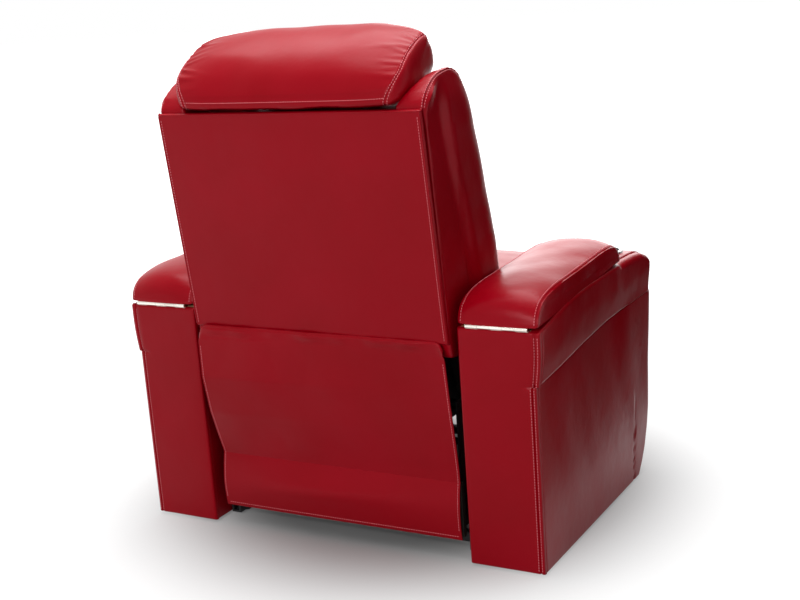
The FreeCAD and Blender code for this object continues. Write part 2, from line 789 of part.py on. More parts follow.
def lid_cushion(side):
    """Sections along the lid: share of its length, side height share, crown share and width drawn in."""
    profile = (
        (0.0, 0.30, 0.0, 3.0),
        (0.03, 0.62, 0.25, 1.0),
        (0.09, 0.92, 0.7, 0.0),
        (0.25, 1.0, 1.0, 0.0),
        (0.5, 0.96, 1.0, 0.0),
        (0.75, 0.95, 1.0, 0.0),
        (0.9, 0.95, 0.85, 0.0),
        (0.975, 0.72, 0.5, 1.5),
        (1.0, 0.36, 0.1, 5.0),
    )
    x0, x1 = (s.value for s in span(side, *lid_x))
    sections = []
    for share, rise, arch, draw in profile:
        ahead = d.lid_long.value * share
        low = lid_underside(ahead)
        top = low + d.lid_side.value * rise
        crown = top + 1 + d.lid_crown.value * arch
        sections.append(across_section(ahead, x0 + draw, x1 - draw, low, top, crown))
    return cut(loft(sections, "LidCushion"), board_pocket(side), hinge_room(side))


def board_pocket(side):
    """The room that the lid's board takes in its cover, open below."""
    corners = [(a, z - d.lid_board - 12) for a, z in lid_corners[:4]] + lid_corners[4:]
    return slab(corners, span(side, lid_x[0] + 6, lid_x[1] - 6), name="BoardPocket")


knuckles = 5


def hinge_half(side, first, leaf_z, name):
    """One hinge leaf with every second knuckle, starting at number first."""
    start = side * arm_middle - d.hinge_long / 2
    pitch = d.hinge_long / knuckles
    leaf = block((start, start + d.hinge_long), (Size.of(0.4), d.leaf_deep), leaf_z, name)
    pieces = []
    for number in range(first, knuckles, 2):
        x = start + pitch * number + 0.2
        pieces.append(rod("x", (x, hinge_ahead, hinge_z), pitch - 0.4, d.knuckle_radius, "Knuckle"))
    notches = []
    for number in range(1 - first, knuckles, 2):
        x = start + pitch * number
        room = d.knuckle_radius + 0.4
        notches.append(rod("x", (x, hinge_ahead, hinge_z), pitch, room, "Notch"))
    bore_radius = d.hinge_pin_radius + d.running
    bore = rod("x", (start - 1, hinge_ahead, hinge_z), d.hinge_long + 2, bore_radius, "Bore")
    reach = (hinge_ahead, Size.of(0.5))
    tongues = [block((start + pitch * n + 0.2, start + pitch * (n + 1) - 0.2), reach, leaf_z, "Tongue")
               for n in range(first, knuckles, 2)]
    return cut(fuse(cut(leaf, *notches), *pieces, *tongues), bore)




def lower_leaf(side):
    return hinge_half(side, 0, lower_leaf_z, "LowerLeaf")


def hinge_pin(side):
    start = side * arm_middle - d.hinge_long / 2
    return rod("x", (start, hinge_ahead, hinge_z), d.hinge_long, d.hinge_pin_radius, "HingePin")


keep(both(lower_leaf), "hinge_lower_leaves")
keep(both(hinge_pin), "hinge_pins")
for side, label in ((1, "left"), (-1, "right")):
    keep(lid_board(side), f"lid_{label}_board")
    keep(lid_cushion(side), f"lid_{label}_cushion")
    keep(hinge_half(side, 1, upper_leaf_z, "UpperLeaf"), f"lid_{label}_hinge_leaf")

# Seat carriage: side plates with feet, cross tubes, and guide blocks that run in the floor rails
plate_x = (plate_out - d.plate, plate_out)
layer = d.plate + d.layer_gap
crank_x = (plate_x[0] - layer, plate_x[1] - layer)
coupler_x = (plate_x[0] - layer * 2, plate_x[1] - layer * 2)
bracket_x = (plate_x[0] - layer * 3, plate_x[1] - layer * 3)
drag_x = (plate_x[0] - layer * 4, plate_x[1] - layer * 4)
front_pivot = (d.crank_ahead, d.crank_high)
rear_pivot = (d.crank_ahead - d.crank_apart, d.crank_high)
recline_pivot = (d.recline_ahead, d.recline_high)
kick_rear = Size.of(30)
kick_front = kick_rear + 12
rear_bar = (d.recline_ahead + 40, d.recline_high - 70)
upper_bar = (d.recline_ahead + 180, d.crank_high + 8)
bar_radius = Size.of(10)
foot_ahead = (d.rail_rear + 24, d.rail_rear + d.rail_long - 76)


def side_plate(side):
    """A side plate with the foot that is folded out along its lower edge."""
    corners = [
        (kick_front, d.plate_foot + 1),
        (kick_front, d.frame_low - 0.2),
        (d.frame_front, d.frame_low - 0.2),
        (d.frame_front, d.crank_high - 25),
        (d.crank_ahead + 40, d.crank_high - 25),
        (d.crank_ahead - 60, d.plate_foot + 1),
    ]
    holes = [
        (*recline_pivot, d.pivot_tube + d.running),
        (*front_pivot, d.drive_tube + d.running),
        (*rear_pivot, d.rivet),
        (*rear_bar, bar_radius),
        (*upper_bar, bar_radius),
    ]
    x = span(side, plate_x[0], groove_x[1] - 0.5)
    foot = block(x, foot_ahead, (d.plate_foot, d.plate_foot + d.plate), "PlateFoot")
    return fuse(slab(corners, span(side, *plate_x), holes=holes, name="SidePlate"), foot)


def carriage_bar(place):
    length = plate_x[1] * 2
    return pipe("x", (-plate_x[1], *place), length, bar_radius, bar_radius - d.tube_wall, "Bar")


keep(both(side_plate), "seat_side_plates")
keep(group(carriage_bar(rear_bar), carriage_bar(upper_bar)), "seat_cross_bars")

guides = []
for side in (1, -1):
    x = span(side, groove_x[0] + 0.5, groove_x[1] - 0.5)
    for start in (foot_ahead[0], foot_ahead[1] - d.block_long):
        low = rail_z[0] + d.rail_wall + 0.2
        guides.append(block(x, (start, start + d.block_long), (low, d.plate_foot), "GuideBlock"))
keep(group(*guides), "seat_guide_blocks")

# Seat frame boards, the kick board behind them, springs and cushion
frame_z = (d.frame_low, d.frame_low + d.frame_tall)
frame_out = seat_half - 13
frame_boards = [
    block(
        span(side, frame_out - d.frame_board, frame_out),
        (d.frame_rear, d.frame_front),
        frame_z,
        "SideRail",
    )
    for side in (1, -1)
]
frame_in = frame_out - d.frame_board
for start in (d.frame_rear, d.frame_front - d.frame_board):
    frame_boards.append(block((-frame_in, frame_in), (start, start + d.frame_board), frame_z, "CrossRail"))
kick_x = (-(skirt_half - 2), skirt_half - 2)
frame_boards.append(block(kick_x, (kick_rear, kick_front), (d.skirt_hem + 3, d.crease - 6), "KickBoard"))
keep(group(*frame_boards), "seat_frame")


def zigzag_spring(x, ahead, height):
    """A flat zigzag of straight runs and half-circle bends, in one level plane."""
    count = round((ahead[1] - ahead[0]) / d.spring_step.value)
    step = (ahead[1] - ahead[0]) / count
    swing = d.spring_swing.value
    runs = []
    for i in range(count + 1):
        side = 1 if i % 2 == 0 else -1
        y = y_of(ahead[0] + i * step).value
        near = FreeCAD.Vector(x - side * swing, y, height)
        far = FreeCAD.Vector(x + side * swing, y, height)
        runs.append(Part.makeLine(near, far))
        if i < count:
            bulge = FreeCAD.Vector(x + side * (swing + step / 2), y - step / 2, height)
            runs.append(Part.Arc(far, bulge, far - FreeCAD.Vector(0, step, 0)).toShape())
    start = runs[0].Vertexes[0].Point
    circle = Part.Wire([Part.makeCircle(d.spring_wire.value, start, FreeCAD.Vector(1, 0, 0))])
    made = new("Part::Feature", "Spring")
    made.Shape = Part.Wire(runs).makePipeShell([circle], True, False)
    return made


spring_high = (frame_z[1] + d.spring_wire + 0.1).value
spring_ahead = ((d.frame_rear + 6).value, (d.frame_front - 6).value)
spring_pitch = frame_in.value * 2 / 6
springs = [zigzag_spring(spring_pitch * i, spring_ahead, spring_high) for i in (-2, -1, 0, 1, 2)]
keep(group(*springs), "seat_springs")

cushion_low = (frame_z[1] + 2 * d.spring_wire + 1).value
over_rest = (d.rest_high + 6).value
side_top = d.seat_top.value
seat_profile = (
    (d.seat_rear.value, 5.0, cushion_low, -10, 0.5),
    (d.seat_rear.value + 40, 0.0, cushion_low, 0, 1.0),
    (d.seat_rear.value + 190, 1.5, cushion_low, -1, 1.0),
    (d.frame_front.value - 60, 0.0, cushion_low, 1, 1.1),
    (d.frame_front.value + 6, 0.0, cushion_low + 4, 0, 1.0),
    (d.frame_front.value + 42, 0.0, over_rest, -5, 0.9),
    (d.seat_nose.value - 22, 2.0, over_rest + 3, -17, 0.75),
    (d.seat_nose.value - 6, 6.0, over_rest + 9, -30, 0.5),
    (d.seat_nose.value, 12.0, over_rest + 18, d.nose_drop.value * -0.62, 0.2),
)
seat_sections = []
for ahead, draw, low, drop, arch in seat_profile:
    half = seat_half.value - draw
    top = side_top + drop
    seat_sections.append(across_section(ahead, -half, half, low, top, top + d.seat_crown.value * arch))
keep(loft(seat_sections, "SeatCushion"), "seat_cushion")

# Rear skirt: leather from the back's lower edge down to the kick board
skirt_outer = [
    (back_face(d.back_low) + 2, d.back_low - 2),
    (Size.of(0), d.back_low - 87),
    (Size.of(14), d.back_low - 195),
    (kick_rear - d.skirt - 1, d.crease + 24),
    (kick_rear - d.skirt - 4, d.crease - 6),
    (kick_rear - d.skirt - 8, (d.crease + d.skirt_hem) / 2),
    (kick_rear - d.skirt - 3, d.skirt_hem),
]
skirt_inner = [(a + d.skirt, z) for a, z in reversed(skirt_outer)]
keep(slab(skirt_outer + skirt_inner, (-skirt_half, skirt_half), name="Skirt"), "rear_skirt")


# Back: frame, outside panel, cushions and side wings, carried by a pivot tube
def leaning(x, z, depth, name):
    """A slab that leans with the back. depth is its range ahead of the back's rear face."""
    corners = [(back_face(z[i]) + depth[j], z[i]) for i, j in ((0, 0), (1, 0), (1, 1), (0, 1))]
    return slab(corners, x, name=name)


keep(leaning((-back_half, back_half), (d.back_low, d.back_high), (Size.of(0), d.back_panel), "Panel"),
     "outside_back_panel")

stile_depth = (d.back_panel + 1, d.back_panel + 1 + d.stile_deep)
stile_in = stile_out - d.stile
stile_z = (d.cushion_low + 4, d.back_high - 20)
frame_pieces = [leaning(span(side, stile_in, stile_out), stile_z, stile_depth, "Stile") for side in (1, -1)]
rail_levels = (stile_z[0], (stile_z[0] + stile_z[1]) / 2, stile_z[1] - 26)
for low in rail_levels:
    frame_pieces.append(leaning((-stile_in, stile_in), (low, low + 26), stile_depth, "BackRail"))
keep(group(*frame_pieces), "back_frame")

cushion_depth = d.back_panel + d.stile_deep + 3
cushion_half = (stile_out - 0.3).value


def back_cushion(levels, name):
    sections = []
    for height, front, draw in levels:
        rear = (back_face(Size.of(height)) + cushion_depth).value
        sections.append(level_section(height, cushion_half - draw, rear, front, d.cushion_crown.value))
    return loft(sections, name)


low, high = d.cushion_low.value, d.lumbar_high.value
front = d.lumbar_front.value
lumbar = ((low, front - 16, 4), (low + 34, front - 2, 0), (low + 120, front, 2), (high - 30, front - 13, 0),
          (high, front - 34, 4))
keep(back_cushion(lumbar, "Lumbar"), "lumbar_cushion")
low, high = high + 2, d.cushion_high.value
upper = (
    (low, front - 38, 4),
    (low + 32, front - 24, 0),
    (low + 110, front - 46, 2),
    (high - 34, front - 76, 0),
    (high, front - 98, 4),
)
keep(back_cushion(upper, "UpperCushion"), "upper_back_cushion")

wing_low_in = (stile_out + d.plate + 0.8).value
wing_high_in = (head_half + 1.5).value
wing_out = back_half.value


def wing_section(side, height, rear, front, bulge):
    """Level section through a side wing, with its outer side swelling and its front rounded."""
    wing_in = wing_low_in if height < d.cushion_low.value + 300 else wing_high_in
    depth = front - rear
    lip = min(34, depth * 0.3)
    points = [
        (wing_in, rear),
        (wing_out - 3, rear),
        (wing_out - 3 + bulge, rear + depth * 0.5),
        (wing_out - 6, front - lip),
        (wing_out - 22, front - lip * 0.2),
        (wing_in + 6, front - lip * 0.12),
        (wing_in, front - lip * 0.5),
    ]
    spots = [FreeCAD.Vector(side * x, y_of(a).value, height) for x, a in points]
    return Part.Wire(
        [
            Part.makeLine(spots[0], spots[1]),
            Part.Arc(spots[1], spots[2], spots[3]).toShape(),
            Part.Arc(spots[3], spots[4], spots[5]).toShape(),
            Part.makeLine(spots[5], spots[6]),
            Part.makeLine(spots[6], spots[0]),
        ]
    )


def head_room(side):
    """The sloped clearance over a wing's inner edge for the headrest's end."""
    near, far = wing_high_in - 6, wing_out + 30
    low = d.back_high.value - 4
    high = low + d.head_slope.value * (far - near)
    spots = [(near, low), (far, high), (near, high + 60)]
    y = y_of(d.lumbar_front + 60).value
    wire = Part.makePolygon([FreeCAD.Vector(side * x, y, z) for x, z in (*spots, spots[0])])
    made = new("Part::Feature", "HeadRoom")
    reach = d.lumbar_front + 60 + d.rear_reach
    made.Shape = Part.Face(wire).extrude(FreeCAD.Vector(0, reach.value, 0))
    return made


def wing(side):
    behind = d.back_panel.value + 0.6
    base, top = d.cushion_low.value, d.back_high.value
    crest = d.shoulder.value
    front = d.lumbar_front.value - 12
    full = d.wing_bulge.value
    levels = [
        (base, front - 20, 2.0),
        (base + 36, front - 2, 6.0),
        (base + 160, front + 2, full - 2),
        (base + 280, front - 20, full),
        (base + 380, front - 46, full),
        (top - 20, front - 90, full - 1),
    ]
    sections = []
    for height, reach, bulge in levels:
        rear = back_face(Size.of(max(height, d.back_low.value))).value + behind
        sections.append(wing_section(side, height, rear, reach, bulge))
    rear = back_face(d.back_high).value + behind
    share = crest - top
    for rise, rear_in, reach, bulge in (
        (0.02, 0, front - 95, full - 2),
        (0.45, 10, front - 101, full - 3),
        (0.75, 26, front - 114, full - 5),
        (0.93, 52, front - 132, full - 8),
        (1.0, 84, front - 150, full - 12),
    ):
        sections.append(wing_section(side, top + share * rise, rear + rear_in, reach, bulge))
    return cut(loft(sections, "Wing"), head_room(side))


keep(both(wing), "back_wings")

# Back brackets run from the pivot tube up the outer faces of the stiles
bracket_plate_x = (stile_out + 0.2, stile_out + 0.2 + d.plate)
bracket_top = d.cushion_low + 110


def back_bracket(side):
    top_ahead = back_face(bracket_top)
    corners = [
        (d.recline_ahead - 26, d.recline_high - 26),
        (back_face(stile_z[0]) + stile_depth[0] + 4, stile_z[0] + 4),
        (top_ahead + stile_depth[0] + 4, bracket_top),
        (top_ahead + stile_depth[1] - 4, bracket_top),
        (d.recline_ahead + 26, d.recline_high + 20),
        (d.recline_ahead + 26, d.recline_high - 26),
    ]
    holes = [(*recline_pivot, d.pivot_tube)]
    return slab(corners, span(side, *bracket_plate_x), holes=holes, name="BackBracket")


keep(both(back_bracket), "back_brackets")


# Yokes and lugs: each actuator rod ends in a slotted block that holds the lug's pin
yoke_half = Size.of(8)
lug_plate = Size.of(4)
pin_radius = Size.of(4)
fork_gap = yoke_half + 4


def polar(centre, radius, degrees):
    """A place at a radius from a pivot, at an angle ahead of straight down."""
    return centre[0] + radius * sine(degrees), centre[1] - radius * cosine(degrees)


def lug(middle, pivot, pin, bore):
    """Two strap plates from a tube to a cross pin."""
    plates = []
    for x in (middle - fork_gap - lug_plate, middle + fork_gap):
        plates.append(strap((pivot, pin), (x, x + lug_plate), d.strap - 2, (bore, None), "Lug"))
    start = middle - fork_gap - lug_plate
    plates.append(rod("x", (start, *pin), (fork_gap + lug_plate) * 2, pin_radius, "LugPin"))
    return plates


recline_pin = polar(recline_pivot, d.recline_lug, -d.recline_half)
tube_half = plate_out + 2
pivot_pipe = pipe("x", (-tube_half, *recline_pivot), tube_half * 2, d.pivot_tube, d.pivot_tube - d.tube_wall)
keep(fuse(pivot_pipe, *lug(d.drive_off, recline_pivot, recline_pin, d.pivot_tube - 0.5)), "back_pivot_tube")

# Headrest: cushion, inner board with its pivot rod, and the hinge arms on the back frame
head_pivot = (d.head_pivot_ahead, d.head_pivot_high)


def head_section(x, puff):
    """Side section of the headrest. puff is 0 at the flat end caps and 1 at the middle."""
    pivot_a, pivot_z = (s.value for s in head_pivot)
    nose = d.head_nose.value - 8 * (1 - puff)
    low, high = d.head_low.value, d.head_high.value - 26 * (1 - puff)
    rear = -d.rear_reach.value + 5 * (1 - puff)
    middle = 10 + 14 * (1 - puff)
    front = pivot_a + 4 + 34 * puff
    spots = [
        (rear, low),
        (rear + middle + 30, (low + high) / 2 + 8),
        (rear + 115 + 20 * puff, high - 12 + 7 * puff),
        (front - 26, high - 8),
        (front, high - 48),
        (pivot_a + nose, pivot_z),
        (pivot_a + nose * math.sin(math.pi / 4), pivot_z - nose * math.sin(math.pi / 4)),
        (pivot_a, pivot_z - nose),
        (pivot_a - 62, d.back_high.value - 14),
        (rear + 12, d.back_high.value + 1),
    ]
    v = [FreeCAD.Vector(x, y_of(a).value, z) for a, z in spots]
    return Part.Wire(
        [
            Part.Arc(v[0], v[1], v[2]).toShape(),
            Part.Arc(v[2], v[3], v[4]).toShape(),
            Part.makeLine(v[4], v[5]),
            Part.Arc(v[5], v[6], v[7]).toShape(),
            Part.makeLine(v[7], v[8]),
            Part.makeLine(v[8], v[9]),
            Part.makeLine(v[9], v[0]),
        ]
    )


half = head_half.value
stations = ((-1.0, 0.0), (-0.94, 0.3), (-0.8, 0.7), (-0.4, 0.95), (0.0, 1.0), (0.4, 0.95), (0.8, 0.7),
            (0.94, 0.3), (1.0, 0.0))


def head_end(side):
    """The swollen end of the headrest, which overhangs a shoulder."""
    pivot_a, pivot_z = (s.value for s in head_pivot)
    swell = d.head_swell.value
    levels = (
        (-0.1, ((-148, 53), (-110, 98), (-54, 136), (-16, 130), (2, 95), (-6, 53))),
        (0.45, ((-142, 67), (-109, 105), (-54, 135), (-18, 127), (-6, 95), (-12, 67))),
        (0.8, ((-134, 79), (-108, 107), (-58, 131), (-28, 121), (-20, 95), (-26, 80))),
        (1.0, ((-120, 91), (-100, 109), (-64, 121), (-44, 115), (-38, 101), (-42, 91))),
    )
    sections = []
    for share, outline in levels:
        x = side * (half + swell * share)
        v = [FreeCAD.Vector(x, y_of(pivot_a + a).value, pivot_z + z) for a, z in outline]
        sections.append(
            Part.Wire(
                [
                    Part.Arc(v[0], v[1], v[2]).toShape(),
                    Part.Arc(v[2], v[3], v[4]).toShape(),
                    Part.makeLine(v[4], v[5]),
                    Part.makeLine(v[5], v[0]),
                ]
            )
        )
    return loft(sections, "HeadEnd")


head_middle = loft([head_section(half * share, puff) for share, puff in stations], "HeadMiddle")
head_form = fuse(head_middle, head_end(1), head_end(-1))

arm_places = (150, -150)
motor_half = Size.of(28)
rod_half = Size.of(200)
notch_ahead = (head_pivot[0] - 94, head_pivot[0] + 29)
notch_z = (head_pivot[1] - d.head_nose - 2, head_pivot[1] + 32)
notches = [block((Size.of(x - 5), Size.of(x + 5)), notch_ahead, notch_z, "ArmNotch") for x in arm_places]
notches.append(block((-(motor_half + 3), motor_half + 3), notch_ahead, notch_z, "MotorNotch"))
rod_start = (-rod_half, *head_pivot)
board_corners = [
    (head_pivot[0] - 8, head_pivot[1] + 34),
    (head_pivot[0] - 44, d.head_high - 40),
    (head_pivot[0] - 32, d.head_high - 40),
    (head_pivot[0] + 6, head_pivot[1] + 34),
]
board_x = (-(head_half - 40), head_half - 40)


def head_frame():
    """The headrest's inner plate with the two arms that clamp it to the pivot rod."""
    foot = (head_pivot[0] - 4, head_pivot[1] + 42)
    arms = [
        strap((head_pivot, foot), (Size.of(x - 3), Size.of(x + 3)), Size.of(10), (d.head_rod, None), "Clamp")
        for x in (100, -100)
    ]
    return fuse(slab(board_corners, board_x, name="HeadPlate"), *arms)


rod_room = rod("x", rod_start, rod_half * 2, d.head_rod, "RodRoom")
keep(cut(head_form, *notches, rod_room, head_frame()), "headrest_cushion")
keep(head_frame(), "headrest_frame")
keep(rod("x", rod_start, rod_half * 2, d.head_rod, "HeadRod"), "headrest_pivot_rod")

hinge_bar_z = (stile_z[1] - 24, stile_z[1] - 4)
rail_front = back_face(hinge_bar_z[0]) + stile_depth[1]
hinge_arms = []
for x in arm_places:
    corners = [
        (rail_front + 2.3, hinge_bar_z[0]),
        (rail_front + 2.3, hinge_bar_z[1]),
        (head_pivot[0] + 11, head_pivot[1] + 11),
        (head_pivot[0] + 11, head_pivot[1] - 11),
        (head_pivot[0] - 12, hinge_bar_z[0]),
    ]
    holes = [(*head_pivot, d.head_rod + d.running)]
    hinge_arms.append(slab(corners, (Size.of(x - 2), Size.of(x + 2)), holes=holes, name="HingeArm"))
bar = block((-(stile_out - 30), stile_out - 30), (rail_front, rail_front + 2.3), hinge_bar_z, "HingeBar")
keep(fuse(bar, *hinge_arms), "headrest_hinge")

gear_box = block((-motor_half, motor_half), (rail_front + 2.5, head_pivot[0] + 17),
                 (head_pivot[1] - 17, head_pivot[1] + 13), "GearBox")
gear_bore = rod("x", (-motor_half - 1, *head_pivot), motor_half * 2 + 2, d.head_rod + d.running, "GearBore")
keep(cut(gear_box, gear_bore), "headrest_motor")

# Footrest linkage: two parallel cranks a side carry a coupler, whose drag link turns the footrest
crank_turn = -d.crank_angle
front_knee = polar(front_pivot, d.crank, crank_turn)
rear_knee = polar(rear_pivot, d.crank, crank_turn)
board_rear_face = d.front_reach - d.rest_pad - d.rest_board
rest_pivot = (board_rear_face - d.board_behind, d.rest_pivot_high)
ear_step = (d.ear * cosine(d.ear_angle), d.ear * sine(d.ear_angle))
crank_ear = (front_knee[0] + ear_step[0], front_knee[1] + ear_step[1])
rest_ear = (rest_pivot[0] + ear_step[0], rest_pivot[1] + ear_step[1])
loose = d.rivet + d.running


def front_crank(side):
    bores = (d.drive_tube - 0.5, loose, loose)
    return strap((front_pivot, front_knee, crank_ear), span(side, *crank_x), d.strap + 3, bores, "FrontCrank")


drive_pipe = pipe("x", (-tube_half, *front_pivot), tube_half * 2, d.drive_tube, d.drive_tube - d.tube_wall)
drive_pin = polar(front_pivot, d.drive_lug, crank_turn)
keep(
    fuse(
        drive_pipe,
        front_crank(1),
        front_crank(-1),
        *lug(-d.drive_off, front_pivot, drive_pin, d.drive_tube - 0.5),
    ),
    "footrest_drive_tube",
)


def rear_crank(side):
    return strap((rear_pivot, rear_knee), span(side, *crank_x), d.strap, (loose, loose), "RearCrank")


def coupler(side):
    bores = (d.rivet, d.rivet, d.rivet)
    return strap((rear_knee, front_knee, rest_pivot), span(side, *coupler_x), d.strap, bores, "Coupler")


def drag_link(side):
    return strap((crank_ear, rest_ear), span(side, *drag_x), d.strap - 2, (d.rivet, d.rivet), "DragLink")


def rest_bracket(side):
    corners = [
        (rest_pivot[0] - 14, rest_pivot[1] + 10),
        (rest_pivot[0] - 4, rest_pivot[1] + 16),
        (board_rear_face, rest_pivot[1] + 16),
        (board_rear_face, rest_ear[1] - 16),
        (rest_ear[0] - 12, rest_ear[1] - 12),
    ]
    holes = [(*rest_pivot, loose), (*rest_ear, loose)]
    return slab(corners, span(side, *bracket_x), holes=holes, name="RestBracket")


keep(both(rear_crank), "footrest_rear_cranks")
keep(both(coupler), "footrest_couplers")
keep(both(drag_link), "footrest_drag_links")
keep(both(rest_bracket), "footrest_brackets")


def rivets(places, x):
    made = []
    for side in (1, -1):
        near, far = span(side, *x)
        for place in places:
            made.append(rod("x", (near, *place), far - near, d.rivet, "Rivet"))
    return made


keep(group(*rivets((rear_pivot,), (crank_x[0] - 0.8, plate_x[1]))), "rear_crank_rivets")
coupler_rivets = rivets((rear_knee, front_knee), (coupler_x[0], crank_x[1] + 0.8))
coupler_rivets += rivets((rest_pivot,), (bracket_x[0] - 0.8, coupler_x[1]))
keep(group(*coupler_rivets), "coupler_rivets")
drag_rivets = rivets((crank_ear,), (drag_x[0], crank_x[1] + 0.8))
drag_rivets += rivets((rest_ear,), (drag_x[0], bracket_x[1] + 0.8))
keep(group(*drag_rivets), "drag_link_rivets")

board_ahead = (board_rear_face, board_rear_face + d.rest_board)
keep(block((-(rest_half - 12), rest_half - 12), board_ahead, (d.rest_low + 8, d.rest_high - 15)),
     "footrest_board")


def rest_section(height, draw, reach):
    half = rest_half.value - draw
    rear = board_ahead[1].value + 0.2
    return level_section(height, half, rear, reach, 10)


low, high, reach = d.rest_low.value, d.rest_high.value, d.front_reach.value
rest_levels = ((low, 8, reach - 26), (low + 14, 2, reach - 8), (low + 60, 0, reach - 1),
               ((low + high) / 2, 1.5, reach), (high - 60, 0, reach - 1), (high - 12, 2, reach - 9),
               (high, 8, reach - 26))
keep(loft([rest_section(*level) for level in rest_levels], "FootrestPad"), "footrest_pad")

# Footrest actuator: motor, sleeve and a rod that works the drive tube's lug
drive_high = front_pivot[1] - d.drive_lug * 0.87
gear_ahead = (rear_bar[0] + bar_radius + 15, rear_bar[0] + bar_radius + 55)


def yoke(middle, pin_ahead, high, slot_half, slot_tall):
    side = slot_half + 6
    tall = slot_tall / 2 + 6
    outer = block((middle - yoke_half, middle + yoke_half), (pin_ahead - side, pin_ahead + side),
                  (high - tall, high + tall), "Yoke")
    slot = block(
        (middle - yoke_half - 1, middle + yoke_half + 1),
        (pin_ahead - slot_half, pin_ahead + slot_half),
        (high - slot_tall / 2, high + slot_tall / 2),
        "YokeSlot",
    )
    return cut(outer, slot)


def drive_body(middle, gear, sleeve, high, tab, bore_start):
    """Gear case, sleeve, motor under the sleeve and the tab that meets its cross bar."""
    case = block((middle - 25, middle + 25), gear, (high - 66, high + 22), "GearCase")
    tube = rod("y", (middle, sleeve[0], high), sleeve[1] - sleeve[0], d.sleeve_radius, "Sleeve")
    motor = rod("y", (middle, sleeve[0], high - 42), sleeve[1] - sleeve[0] - 60, d.motor_radius, "Motor")
    bore = rod("y", (middle, bore_start, high), sleeve[1] - bore_start + 1, d.rod_radius + 0.3, "SleeveBore")
    return cut(fuse(case, tube, motor, tab), bore)


footrest_tab = block((-d.drive_off - 10, -d.drive_off + 10), (rear_bar[0] + bar_radius, gear_ahead[0] + 2),
                     (rear_bar[1] - 8, rear_bar[1] + 8), "Tab")
sleeve_ahead = (gear_ahead[1] - 2, drive_pin[0] - 60)
keep(
    drive_body(-d.drive_off, gear_ahead, sleeve_ahead, drive_high, footrest_tab, gear_ahead[0] + 8),
    "footrest_actuator",
)
slot_half = pin_radius + 3.5
rod_start_ahead = sleeve_ahead[0] + 20
rod_end = drive_pin[0] - slot_half - 5
keep(
    fuse(
        yoke(-d.drive_off, drive_pin[0], drive_high, slot_half, Size.of(34)),
        rod(
            "y",
            (-d.drive_off, rod_start_ahead, drive_high),
            rod_end - rod_start_ahead,
            d.rod_radius,
            "PushRod",
        ),
    ),
    "footrest_actuator_rod",
)

# Recline actuator: the same kind of drive, turned round to work the back pivot tube's lug
recline_z = recline_pin[1] - 1.3
case_ahead = (upper_bar[0] - 30, upper_bar[0] + 10)
recline_sleeve = (rear_bar[0] + bar_radius + 5, case_ahead[0] + 2)


def recline_body():
    middle = d.drive_off
    case = block((middle - 25, middle + 25), case_ahead, (recline_z - 66, recline_z + 22), "GearCase")
    reach = recline_sleeve[1] - recline_sleeve[0]
    tube = rod("y", (middle, recline_sleeve[0], recline_z), reach, d.sleeve_radius, "Sleeve")
    motor_start = (middle, recline_sleeve[0] + 15, recline_z - 42)
    motor = rod("y", motor_start, reach - 15, d.motor_radius, "Motor")
    tab = block((middle - 10, middle + 10), (upper_bar[0] - 8, upper_bar[0] + 8),
                (recline_z + 20, upper_bar[1] - bar_radius), "Tab")
    bore_start = (middle, recline_sleeve[0] - 1, recline_z)
    bore = rod("y", bore_start, case_ahead[1] - 4 - recline_sleeve[0], d.rod_radius + 0.3, "SleeveBore")
    return cut(fuse(case, tube, motor, tab), bore)


recline_slot = pin_radius + 1
push_start = recline_pin[0] + recline_slot + 5
push_end = case_ahead[0] - 10
keep(recline_body(), "recline_actuator")
keep(
    fuse(
        yoke(d.drive_off, recline_pin[0], recline_z, recline_slot, Size.of(18)),
        rod("y", (d.drive_off, push_start, recline_z), push_end - push_start, d.rod_radius, "PushRod"),
    ),
    "recline_actuator_rod",
)

# Checks every object, then writes one file for each sub-part
doc.recompute()
for thing in doc.Objects:
    if "Invalid" in thing.State or "Error" in thing.State:
        raise RuntimeError(f"{thing.Name} ({thing.Label}) failed: {thing.State}")
os.makedirs("parts", exist_ok=True)
for thing in PARTS:
    shape = thing.Shape
    if shape.isNull() or not shape.isValid() or not shape.Solids:
        raise RuntimeError(f"{thing.Label} has no valid solid")
    shape.exportStep(f"parts/{thing.Label}.step")
print(len(PARTS), "sub-parts,", sum(len(thing.Shape.Solids) for thing in PARTS), "solids")
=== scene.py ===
# A cinema recliner seat: covers, cushions, finishes and studio around the frame of its CAD parts

import json
import math

import bmesh
import bpy
import numpy as np
from mathutils import Matrix, Vector

